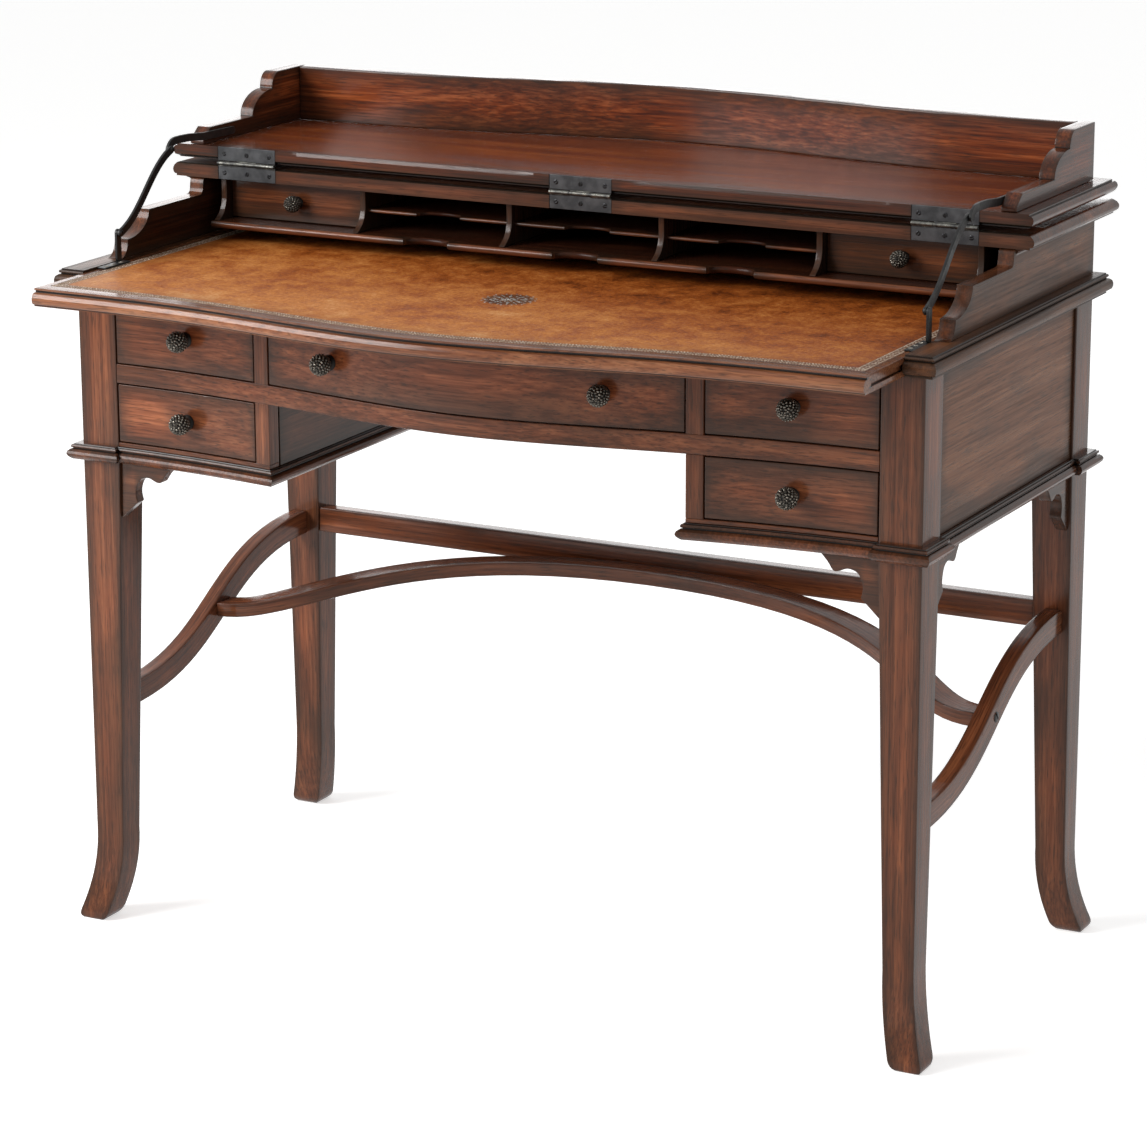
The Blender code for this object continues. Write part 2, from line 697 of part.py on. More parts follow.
def stretchers():
    """Ogee side stretchers, the straight rear one and the bowed one that meets it."""
    outer = HALF - STRETCHER_INSET
    low = SIDE_STRETCHER_FRONT_Z
    high = SIDE_STRETCHER_REAR_Z
    first = leg_width(low) + CLEAR
    last = DEPTH - leg_width(high) - CLEAR
    middle = (first + last) / 2
    line = bezier(((first, low), (middle, low), (middle, high), (last, high)), 12)
    for side_name, side in SIDES:
        edges = []
        for lift in (SIDE_STRETCHER_TALL / 2, -SIDE_STRETCHER_TALL / 2):
            edge = [Vector((leg_width(low + lift) + CLEAR, low + lift))]
            for before, point, after in zip(line, line[1:], line[2:]):
                along = (after - before).normalized()
                edge.append(point + Vector((-along.y, along.x)) * lift)
            edge.append(Vector((DEPTH - leg_width(high + lift) - CLEAR, high + lift)))
            edges.append(edge)
        outline = [tuple(point) for point in edges[0] + edges[1][::-1]]
        ends = sorted((side * outer, side * (outer - STRETCHER_THICK)))
        part(f"side_stretcher_{side_name}", plate(outline, "X", *ends), MAHOGANY, DESK)
    line = bow_stretcher_line()
    rear_front_y = line[-1].y + BOW_DEEP + CLEAR
    low = REAR_STRETCHER_Z - REAR_STRETCHER_TALL / 2
    high = REAR_STRETCHER_Z + REAR_STRETCHER_TALL / 2
    low_end = HALF - leg_width(low) - CLEAR
    high_end = HALF - leg_width(high) - CLEAR
    outline = [(-low_end, low), (low_end, low), (high_end, high), (-high_end, high)]
    rear = plate(outline, "Y", rear_front_y, rear_front_y + STRETCHER_THICK)
    part("rear_stretcher", rear, MAHOGANY, DESK)
    line += [Vector((-point.x, point.y, point.z)) for point in reversed(line[:-1])]
    rings = []
    for here, point in enumerate(line):
        before = line[max(here - 1, 0)]
        after = line[min(here + 1, len(line) - 1)]
        along = after - before
        back = Vector((along.y, -along.x, 0)).normalized() * BOW_DEEP
        if here in (0, len(line) - 1):
            back = Vector((0, BOW_DEEP, 0))
        down = Vector((0, 0, BOW_TALL))
        rings.append([point, point + back, point + back - down, point - down])
    part("bow_stretcher", loft(rings), MAHOGANY, DESK)


def dust_board():
    """Board between the lower and upper drawers, which carries the upper ones."""
    part("dust_board", plate(
        case_outline(), "Z", UPPER_Z - DUST_THICK, UPPER_Z + RUN - CLEAR,
    ), DARK_MAHOGANY, DESK)


def knob(centre, size, turn=0.0):
    """A turned knob standing square out from a drawer front that is turned about Z."""
    mesh = turned([(radius * size, out * size) for radius, out in KNOB_RINGS], KNOB_SIDES)
    mesh.transform(Matrix.Translation(Vector(centre)) @ Matrix.Rotation(turn, 4, "Z"))
    return mesh


def frieze_drawer(name, left, right, low, high, knob_places):
    """A drawer behind a serpentine front, open at the top, with its knobs."""
    body = empty(name + "_origin", ((left + right) / 2, 0, low), DESK)
    left += RUN
    right -= RUN
    low += RUN
    places = spread(left, right, BOW_STEPS // 2)
    outline = [(x, -case_bow(x)) for x in places]
    outline += [(right, DRAWER_BACK_Y), (left, DRAWER_BACK_Y)]
    drawer = part(name, plate(outline, "Z", low, high - RUN), MAHOGANY, body)
    places = spread(left + DRAWER_WALL, right - DRAWER_WALL, BOW_STEPS // 2)
    outline = [(x, FRONT_THICK - case_bow(x)) for x in places]
    rear = DRAWER_BACK_Y - DRAWER_WALL
    outline += [(right - DRAWER_WALL, rear), (left + DRAWER_WALL, rear)]
    carve(drawer, plate(outline, "Z", low + DRAWER_FLOOR, high + DRAWER_FLOOR))
    height = (low + high) / 2
    for label, x in knob_places:
        reach = KNOB_RINGS[0][0]
        slope = (case_bow(x + reach) - case_bow(x - reach)) / (2 * reach)
        mesh = knob((x, -case_bow(x) - CLEAR, height), 1.0, -math.atan(slope))
        part(label, mesh, BRONZE, body)


def frieze_drawers():
    """Two drawers in each pedestal and a long one over the kneehole."""
    middle = (STILE_X + LEG_IN_X) / 2
    for side_name, side in SIDES:
        ends = sorted((side * STILE_X, side * LEG_IN_X))
        for level, low, high in (("upper", UPPER_Z, UPPER_TOP_Z), ("lower", LOWER_Z, MID_Z)):
            name = f"{level}_drawer_{side_name}"
            knob_name = f"{level}_knob_{side_name}"
            frieze_drawer(name, *ends, low, high, ((knob_name, side * middle),))
    reach = PEDESTAL_X * KNOB_REACH
    places = [(f"centre_knob_{side_name}", side * reach) for side_name, side in SIDES]
    frieze_drawer("centre_drawer", -PEDESTAL_X, PEDESTAL_X, UPPER_Z, UPPER_TOP_Z, places)


# Writing slide
def top_sides():
    """Fixed moulded boards on the case sides, each with the tongue that guides the slide."""
    for side_name, side in SIDES:
        outline = [
            (UPPER_IN_X, -TOP_NOSE), (HALF + TOP_NOSE, -TOP_NOSE),
            (HALF + TOP_NOSE, DEPTH + REAR_NOSE), (UPPER_IN_X, DEPTH + REAR_NOSE),
        ]
        board = slab(
            outline, CASE_TOP + CLEAR, TOP_Z, TOP_ROUND,
            lambda middle, along: middle.x > UPPER_IN_X + CLEAR, 3,
        )
        item = part(f"top_side_{side_name}", mirrored(board, side), MAHOGANY, DESK)
        carve(item, side_box(
            side, (UPPER_IN_X - TONGUE_OUT, LEG, TONGUE_Z - TONGUE_TALL / 2),
            (UPPER_IN_X + TONGUE_OUT, BACK_Y - LEG, TONGUE_Z + TONGUE_TALL / 2),
        ), "UNION")


def slide_front(x):
    """Y of the slide's front at x."""
    return SLIDE_NOSE_Y - slide_bow(x)


def writing_slide():
    """The slide: a moulded board grooved along its sides, with leather let into its top."""
    places = spread(-SLIDE_HALF, SLIDE_HALF, 2 * BOW_STEPS)
    outline = [(x, slide_front(x)) for x in places]
    outline += [(SLIDE_HALF, SLIDE_REAR_Y), (-SLIDE_HALF, SLIDE_REAR_Y)]
    board = slab(
        outline, SLIDE_Z, SLIDE_TOP, SLIDE_ROUND,
        lambda middle, along: abs(along.x) > abs(along.y) and middle.y < 0, 3,
    )
    slide = part("writing_slide", board, MAHOGANY, SLIDE)
    gap = TONGUE_TALL / 2 + TONGUE_GAP
    for _, side in SIDES:
        carve(slide, side_box(
            side, (SLIDE_HALF - TONGUE_OUT, SLIDE_NOSE_Y + TOP_NOSE, TONGUE_Z - gap),
            (HALF, DEPTH, TONGUE_Z + gap),
        ))
    edge = SLIDE_HALF - LEATHER_SIDE
    for name, spare in (("cut", 0), ("leather_panel", CLEAR)):
        side = edge - spare
        places = spread(-side, side, 2 * BOW_STEPS)
        outline = [(x, slide_front(x) + LEATHER_FRONT + spare) for x in places]
        rear = SLIDE_REAR_Y - LEATHER_REAR - spare
        outline += [(side, rear), (-side, rear)]
        low = SLIDE_TOP - LEATHER_THICK
        if name == "cut":
            carve(slide, plate(outline, "Z", low - CLEAR, SLIDE_TOP + SLIDE_THICK))
        else:
            part(name, plate(outline, "Z", low, SLIDE_TOP), LEATHER, SLIDE)


# Upper case
def behind_edge(middle, along):
    """True for the rims of the hinged boards other than their hinged edge."""
    return middle.y > EDGE_Y + CLEAR


def upper_case():
    """Scrolled sides, the top board over them and the back board between them."""
    foot = TOP_Z + CLEAR
    step_radii = (SCROLL_STEP_Y - SCROLL_FOOT_Y, SCROLL_STEP_Z - foot)
    cove_radii = (SCROLL_TOP_Y - SCROLL_STEP_Y, SCROLL_TOP_Z - SCROLL_STEP_Z)
    outline = arc((SCROLL_FOOT_Y, SCROLL_STEP_Z), step_radii, -90, 0, 4)
    outline += arc((SCROLL_STEP_Y, SCROLL_TOP_Z), cove_radii, -80, 0, 7)
    rise = ROOM_TOP - SCROLL_TOP_Z
    run = OGEE_TOP_Y - OGEE_FOOT_Y
    outline += bezier((
        (OGEE_FOOT_Y, SCROLL_TOP_Z), (OGEE_FOOT_Y + run * 0.9, SCROLL_TOP_Z),
        (OGEE_FOOT_Y + run * 0.2, SCROLL_TOP_Z + rise * 0.9), (OGEE_TOP_Y, ROOM_TOP),
    ), 6)
    outline += [(UPPER_REAR_Y, ROOM_TOP), (UPPER_REAR_Y, foot)]
    outline = [tuple(point) for point in outline]
    for side_name, side in SIDES:
        ends = sorted((side * HALF, side * UPPER_IN_X))
        part(f"upper_side_{side_name}", plate(outline, "X", *ends), MAHOGANY, DESK)
    wide = HALF + BOARD_OUT
    outline = [(-wide, EDGE_Y), (wide, EDGE_Y), (wide, BOARD_REAR_Y), (-wide, BOARD_REAR_Y)]
    board = slab(outline, BOARD_UNDER_Z, BOARD_TOP_Z, BOARD_ROUND, behind_edge, 3)
    top = part("upper_board", board, MAHOGANY, DESK)
    for x in (-HINGE_X, 0, HINGE_X):
        carve(top, leaf_seat(x))
    part("upper_back", box(
        (CLEAR - UPPER_IN_X, UPPER_REAR_Y - BACK_THICK, foot),
        (UPPER_IN_X - CLEAR, UPPER_REAR_Y, ROOM_TOP),
    ), DARK_MAHOGANY, DESK)


def notched_front(left, right, front, bays):
    """Front edge of a board from left to right, with a finger notch in each bay."""
    found = [(left, front)]
    for middle in bays:
        found += [tuple(point) for point in smooth((
            (middle - NOTCH_WIDTH / 2, front), (middle - NOTCH_WIDTH * 0.3, front + NOTCH_DEEP * 0.8),
            (middle, front + NOTCH_DEEP), (middle + NOTCH_WIDTH * 0.3, front + NOTCH_DEEP * 0.8),
            (middle + NOTCH_WIDTH / 2, front),
        ), 2)]
    return found + [(right, front)]


def partition_outline(low):
    """Side view of an upright of the interior, its front edge swept forward to a toe."""
    toe = smooth((
        (PARTITION_TOE_Y, low), (PARTITION_FRONT_Y - TOE_HOLLOW, low + 1.6 * TOE_HOLLOW),
        (PARTITION_FRONT_Y, PARTITION_TOE_Z), (PARTITION_FRONT_Y, ROOM_TOP),
    ), 3)
    return [(ROOM_BACK_Y, low)] + [tuple(point) for point in toe] + [(ROOM_BACK_Y, ROOM_TOP)]


def interior():
    """Floor with its end boards, the pigeonhole rack on it and two small drawers."""
    half = ROOM_HALF
    outline = notched_front(-half, half, FLOOR_FRONT_Y, (-BAY, 0, BAY))
    outline += [(half, ROOM_BACK_Y), (-half, ROOM_BACK_Y)]
    tray = plate(outline, "Z", FLOOR_UNDER_Z, FLOOR_TOP)
    tray = part("interior_floor", tray, DARK_MAHOGANY, DESK)
    thick = PARTITION_THICK
    outline = partition_outline(FLOOR_TOP - FLOOR_THICK / 2)
    for _, side in SIDES:
        carve(tray, plate(outline, "X", *sorted((side * half, side * (half - thick)))), "UNION")
    outline = partition_outline(FLOOR_TOP + CLEAR)
    walls = [
        plate(outline, "X", x - thick / 2, x + thick / 2)
        for x in (-1.5 * BAY, -BAY / 2, BAY / 2, 1.5 * BAY)
    ]
    outline = notched_front(-1.5 * BAY, 1.5 * BAY, SHELF_FRONT_Y, (-BAY, 0, BAY))
    outline += [(1.5 * BAY, ROOM_BACK_Y), (-1.5 * BAY, ROOM_BACK_Y)]
    shelf = plate(outline, "Z", SHELF_Z, SHELF_Z + SHELF_THICK)
    rack = part("pigeonhole_rack", shelf, DARK_MAHOGANY, DESK)
    for wall in walls:
        carve(rack, wall, "UNION")
    inner = 1.5 * BAY + thick / 2 + RUN
    outer = half - thick - RUN
    low = FLOOR_TOP + RUN
    high = ROOM_TOP - RUN
    for side_name, side in SIDES:
        name = f"small_drawer_{side_name}"
        middle = side * (inner + outer) / 2
        body = empty(name + "_origin", (middle, SMALL_DRAWER_Y, low), DESK)
        drawer = part(name, side_box(
            side, (inner, SMALL_DRAWER_Y, low), (outer, SMALL_DRAWER_BACK_Y, high),
        ), DARK_MAHOGANY, body)
        wall = SMALL_WALL
        carve(drawer, side_box(
            side, (inner + wall, SMALL_DRAWER_Y + 2 * wall, low + wall),
            (outer - wall, SMALL_DRAWER_BACK_Y - wall, high + wall),
        ))
        centre = (middle, SMALL_DRAWER_Y - CLEAR, (low + high) / 2)
        part(f"small_knob_{side_name}", knob(centre, SMALL_KNOB), BRONZE, body)


# Lid
def gallery_side_outline():
    """Gallery side: the lower side's scroll turned over about the hinge, less a gap."""
    foot = LID_TOP_Z + CLEAR
    rail = foot + GALLERY_RAIL
    step_z = 2 * HINGE_Z - SCROLL_STEP_Z - SCROLL_GAP
    step_y = 2 * HINGE_Y - SCROLL_STEP_Y + SCROLL_GAP
    top_y = 2 * HINGE_Y - SCROLL_FOOT_Y + SCROLL_GAP
    lobe_y = 2 * HINGE_Y - SCROLL_TOP_Y + SCROLL_GAP
    nose = GALLERY_NOSE_Y
    outline = smooth((
        (nose, foot), (nose + 0.001, foot + GALLERY_RAIL * 0.3),
        (nose + 0.006, foot + GALLERY_RAIL * 0.55), (nose + 0.016, rail),
    ), 2)
    outline += arc((step_y, rail), (step_y - lobe_y, step_z - rail), 180, 98, 7)
    outline += arc((top_y, step_z), (top_y - step_y, GALLERY_TOP_Z - step_z), 180, 90, 4)
    outline += [(GALLERY_REAR_Y, GALLERY_TOP_Z), (GALLERY_REAR_Y, foot)]
    return [tuple(point) for point in outline]


def lid():
    """Lid board with its bowed far edge, the bowed gallery panel and the gallery sides."""
    wide = HALF + LID_OUT
    places = spread(wide, -wide, 2 * BOW_STEPS)
    outline = [(-wide, EDGE_Y), (wide, EDGE_Y)]
    outline += [(x, LID_REAR_Y + slide_bow(x)) for x in places]
    board = slab(outline, LID_UNDER_Z, LID_TOP_Z, BOARD_ROUND, behind_edge, 3)
    item = part("lid_board", board, MAHOGANY, LID)
    for x in (-HINGE_X, 0, HINGE_X):
        carve(item, leaf_seat(x))
    edge = UPPER_IN_X - CLEAR
    places = spread(-edge, edge, 2 * BOW_STEPS)
    outline = [(x, GALLERY_REAR_Y - GALLERY_THICK + slide_bow(x)) for x in places]
    outline += [(x, GALLERY_REAR_Y + slide_bow(x)) for x in reversed(places)]
    foot = LID_TOP_Z + CLEAR
    part("gallery_panel", plate(outline, "Z", foot, GALLERY_TOP_Z), MAHOGANY, LID)
    for side_name, side in SIDES:
        ends = sorted((side * HALF, side * UPPER_IN_X))
        part(f"gallery_side_{side_name}", plate(gallery_side_outline(), "X", *ends), MAHOGANY, LID)


# Hinges
def leaf_seat(x):
    """Recess in a board's front edge for a hinge leaf, for both boards at once."""
    half = LEAF_WIDTH / 2 + CLEAR
    return box(
        (x - half, EDGE_Y - LEAF_WIDTH, BOARD_UNDER_Z - HINGE_GAP),
        (x + half, EDGE_Y + LEAF_THICK + LEAF_EDGE, LID_TOP_Z + HINGE_GAP),
    )


def knuckle_outline(up):
    """Side view of a knuckle and of the tongue that runs from it into its leaf."""
    back = KNUCKLE_RADIUS
    front = EDGE_Y + LEAF_EDGE - HINGE_Y
    root = HINGE_GAP / 2 + LEAF_TONGUE
    turn = 360 - math.degrees(math.acos(front / KNUCKLE_RADIUS))
    outline = arc((0, 0), (KNUCKLE_RADIUS, KNUCKLE_RADIUS), 0, turn, 14)
    outline += [Vector((front, -root)), Vector((back, -root))]
    return [(HINGE_Y + point.x, HINGE_Z + up * point.y) for point in outline]


def leaf(name, x, low, up, knuckles, body):
    """A hinge leaf: its plate, and the knuckles that reach from it to the axis."""
    half = LEAF_WIDTH / 2
    front = EDGE_Y + LEAF_EDGE / 2
    high = low + BOARD_THICK
    item = part(name, box((x - half, front, low), (x + half, front + LEAF_THICK, high)), IRON, body)
    for start, end in knuckles:
        carve(item, plate(knuckle_outline(up), "X", x + start, x + end), "UNION")
    return item


def hinges():
    """Three butt hinges let into both boards, the pin of each fixed in its lower leaf."""
    outer = LEAF_WIDTH / 2 - CLEAR
    inner = KNUCKLE_HALF + CLEAR
    for label, x in (("left", -HINGE_X), ("middle", 0), ("right", HINGE_X)):
        axis = (x, HINGE_Y, HINGE_Z)
        ends = ((-outer, -inner), (inner, outer))
        lower = leaf(f"hinge_lower_{label}", x, BOARD_UNDER_Z, 1, ends, DESK)
        carve(lower, rod(axis, "X", PIN_RADIUS, 2 * outer - KNUCKLE_HALF, 10), "UNION")
        middle = ((-KNUCKLE_HALF, KNUCKLE_HALF),)
        upper = leaf(f"hinge_upper_{label}", x, LID_UNDER_Z, -1, middle, LID)
        carve(upper, rod(axis, "X", PIN_RADIUS + PIN_GAP, LEAF_WIDTH, 10))


# Stays
def ribbon(line, width):
    """Outline of a flat bar of even width along a line, with round ends."""
    left = []
    right = []
    for here, point in enumerate(line):
        before = line[max(here - 1, 0)]
        after = line[min(here + 1, len(line) - 1)]
        along = (after - before).normalized()
        across = Vector((-along.y, along.x)) * width / 2
        left.append(point + across)
        right.append(point - across)
    start = (line[0] - line[1]).normalized() * width / 2
    end = (line[-1] - line[-2]).normalized() * width / 2
    outline = [line[0] + start] + left + [line[-1] + end] + right[::-1]
    return [tuple(point) for point in outline]


def stays():
    """On each side: a strap on the lid, a post on the slide and the curved bar between."""
    corner = Vector((STRAP_Y, STRAP_Z))
    heel = Vector((POST_Y, POST_Z))
    lean = (heel - corner).normalized()
    lap = corner + lean * STAY_TAIL
    strap_line = [Vector((STRAP_REAR_Y, LID_TOP_Z + GALLERY_RAIL / 2)), Vector((EDGE_Y, STRAP_Z - 0.003))]
    strap_line += smooth((Vector((EDGE_Y - 0.03, STRAP_Z)), corner, lap), 2)
    sway = Vector((-lean.y, lean.x)) * STAY_SWAY
    third = (lap - heel) / 3
    bar_line = bezier((heel, heel + third + sway, lap - third - sway, lap), 10)
    foot = SLIDE_TOP + CLEAR
    post_low = foot + FOOT_PLATE_THICK / 2
    post_line = [Vector((POST_Y, post_low)), Vector((POST_Y, (post_low + POST_Z) / 2)), heel]
    post_outline = ribbon(post_line, STAY_WIDTH)[1:]
    plate_rear = POST_Y + STAY_WIDTH
    for side_name, side in SIDES:
        outer = sorted((side * STRAP_OUT_X, side * (STRAP_OUT_X - STAY_THICK)))
        inner = sorted((side * BAR_OUT_X, side * (BAR_OUT_X - STAY_THICK)))
        strap = plate(ribbon(strap_line, STAY_WIDTH), "X", *outer)
        part(f"stay_strap_{side_name}", strap, IRON, LID)
        post = part(f"stay_post_{side_name}", plate(post_outline, "X", *outer), IRON, SLIDE)
        carve(post, side_box(
            side, (STRAP_OUT_X - FOOT_PLATE_WIDE, plate_rear - FOOT_PLATE_LONG, foot),
            (STRAP_OUT_X, plate_rear, foot + FOOT_PLATE_THICK),
        ), "UNION")
        pivot = empty(f"stay_{side_name}_pivot", (side * BAR_OUT_X, POST_Y, POST_Z), SLIDE)
        bar = plate(ribbon(bar_line, STAY_WIDTH), "X", *inner)
        bar = part(f"stay_bar_{side_name}", bar, IRON, pivot)
        rivet_x = side * (BAR_OUT_X - STAY_THICK)
        for y, z in (heel, lap):
            carve(bar, rod((rivet_x, y, z), "X", RIVET_RADIUS, 2 * RIVET_TALL, 12), "UNION")


legs()
case_walls()
face_frame()
pedestal_bases()
stretchers()
dust_board()
frieze_drawers()
top_sides()
writing_slide()
upper_case()
interior()
lid()
hinges()
stays()
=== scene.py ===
"""Dresses the campaign desk: joinery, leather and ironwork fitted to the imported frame.

Shapes are written in desk coordinates, in metres: X = 0 is the middle of the desk, Y = 0 the
front face of the legs and Z = 0 the floor. A mesh is moved into the frame as it is placed.
"""

import functools
import logging
import math
from collections.abc import Callable, Sequence
from dataclasses import dataclass, field, replace
from enum import Enum

import bmesh
import bpy
import numpy as np
from mathutils import Matrix, Vector


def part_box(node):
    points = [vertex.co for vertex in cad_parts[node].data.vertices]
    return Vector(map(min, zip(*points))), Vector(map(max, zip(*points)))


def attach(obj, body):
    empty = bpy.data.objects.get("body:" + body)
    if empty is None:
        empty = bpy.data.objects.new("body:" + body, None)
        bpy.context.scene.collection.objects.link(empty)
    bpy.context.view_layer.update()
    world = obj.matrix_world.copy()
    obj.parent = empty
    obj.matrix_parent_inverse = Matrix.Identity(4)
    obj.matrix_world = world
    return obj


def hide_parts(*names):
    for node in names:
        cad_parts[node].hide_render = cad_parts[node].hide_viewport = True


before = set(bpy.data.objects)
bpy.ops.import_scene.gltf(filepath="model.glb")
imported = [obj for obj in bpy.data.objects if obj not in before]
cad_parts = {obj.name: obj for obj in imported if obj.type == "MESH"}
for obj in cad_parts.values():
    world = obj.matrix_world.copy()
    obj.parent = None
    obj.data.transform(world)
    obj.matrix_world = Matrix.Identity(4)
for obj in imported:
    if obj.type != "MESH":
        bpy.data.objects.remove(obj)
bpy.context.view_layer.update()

LOG = logging.getLogger("campaign_desk")

Mesh = bpy.types.Mesh
Material = bpy.types.Material
Socket = bpy.types.NodeSocket
Tree = bpy.types.NodeTree
Shape = bmesh.types.BMesh
Point = tuple[float, float]
Triple = tuple[float, float, float]
Ring = list[Vector]
Places = Sequence[Sequence[float]]
Curve = Callable[[float], float]
# What goes into a node: values, or sockets to link from, in order or by name or number
Inputs = dict[str | int, object] | Sequence[object]
# Place, outward aim and spin about it of a stamped copy
Spot = tuple[Vector, Vector, float]

# The side boards overhang the legs by this much, which gives the legs' front face in the frame
TOP_NOSE = 0.0185
FACE_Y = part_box("top_side_left")[0].y + TOP_NOSE
SHIFT = (0.0, FACE_Y, 0.0)
HALF = 0.515
DEPTH = 0.4806
LEG = 0.0488
LEG_IN_X = HALF - LEG
WAIST_Z = 0.552
WRITING_Z = 0.769
ORNAMENT_Y = 0.069
HINGE_X = 0.436
HINGE_Y = 0.235
HINGE_Z = 0.8585
# Clearance between pieces that meet
GAP = 0.0003
# How far arrises are rounded: commonly, on panels and linings, on show edges and on iron
EASE = 0.001
FINE_EASE = 0.0008
SHOW_EASE = 0.0012
IRON_EASE = 0.0005
# The longest a face is left, on show and inside
CELL = 0.024
HIDDEN_CELL = 0.05
NARROW = 0.006
ARRIS_ANGLE = math.radians(48)
SMOOTH_ANGLE = math.radians(34)
ARRIS_REACH = 0.08
WELD = 1e-6
# Edges of a plan that turn less than this, as a sine, run on as one
STRAIGHT = 0.05
# How many points are measured at once, and the least square of a length
BATCH = 500
TINY = 1e-12
# How far apart the pieces are cut from the log, in metres
LOG_REACH = 40
UP = Vector((0, 0, 1))
GRAIN_DRAWS = np.random.default_rng(11)


class Grain(Enum):
    """The way the grain of a piece runs, as an order of axes with the grain first."""

    ACROSS = (0, 1, 2)
    DEEP = (1, 0, 2)
    UPRIGHT = (2, 0, 1)


class Slot(Enum):
    """The record's material slots."""

    MAHOGANY = "mahogany"
    DARK_MAHOGANY = "dark_mahogany"
    LEATHER = "leather"
    IRON = "iron"
    BRONZE = "bronze"


class Side(Enum):
    """The two ends of the desk."""

    LEFT = -1
    RIGHT = 1

    @property
    def label(self) -> str:
        """The word for this end in the names of nodes."""
        return self.name.lower()

    def span(self, inner: float, outer: float) -> list[float]:
        """Left and right of a stretch between two distances from the middle."""
        return sorted((self.value * inner, self.value * outer))


class Edge(Enum):
    """How one edge of a board is worked."""

    NOSE = 0
    FLAT = 1
    SEAT = 2
    CHAMFER = 3
    SIDE = 4
    GROOVED = 5
    REAR = 6


# Finishes


def colour(code: str) -> tuple[float, float, float, float]:
    """Linear colour of an sRGB value.

    Args:
        code: the value as #RRGGBB.

    Returns:
        Linear red, green and blue, with full alpha.
    """
    parts = [int(code[at : at + 2], 16) / 255 for at in (1, 3, 5)]
    linear = [v / 12.92 if v <= 0.04045 else ((v + 0.055) / 1.055) ** 2.4 for v in parts]
    return (*linear, 1.0)


def feed(tree: Tree, node: bpy.types.Node, inputs: Inputs) -> None:
    """Sets or links a node's inputs.

    Args:
        tree: the node's tree.
        node: the node.
        inputs: what goes into it.
    """
    for key, value in inputs.items() if isinstance(inputs, dict) else enumerate(inputs):
        if isinstance(value, Socket):
            tree.links.new(value, node.inputs[key])
        else:
            node.inputs[key].default_value = value


def add_node(
    tree: Tree, kind: str, out: str | int, inputs: Inputs = (), stops: Sequence[tuple[float, str]] = (),
    **settings: object,
) -> Socket:
    """Adds a node with its settings and links.

    Args:
        tree: the tree to add to.
        kind: the node's type.
        out: name or number of the output to go on from.
        inputs: what goes into it.
        stops: places and hex colours of a colour ramp, its two ends first.
        settings: the node's own properties.

    Returns:
        The socket of that output.
    """
    made = tree.nodes.new(kind)
    for name, value in settings.items():
        setattr(made, name, value)
    feed(tree, made, inputs)
    for here, (at, code) in enumerate(stops):
        ramp = made.color_ramp.elements
        stop = ramp[here] if here < 2 else ramp.new(at)
        stop.position = at
        stop.color = colour(code)
    return made.outputs[out]


@dataclass(frozen=True)
class Finish:
    """A finish, named for its real material; each kind of it wires its own shader."""

    name: str

    @functools.cache
    def material(self) -> Material:
        """The finish as a material, which is made once.

        Returns:
            The material.
        """
        made = bpy.data.materials.new(self.name)
        made.use_nodes = True
        feed(made.node_tree, made.node_tree.nodes["Principled BSDF"], self.wire(made.node_tree))
        return made

    def wire(self, tree: Tree) -> Inputs:
        """Adds the finish's nodes to a tree and gives the shader's inputs."""
        raise NotImplementedError


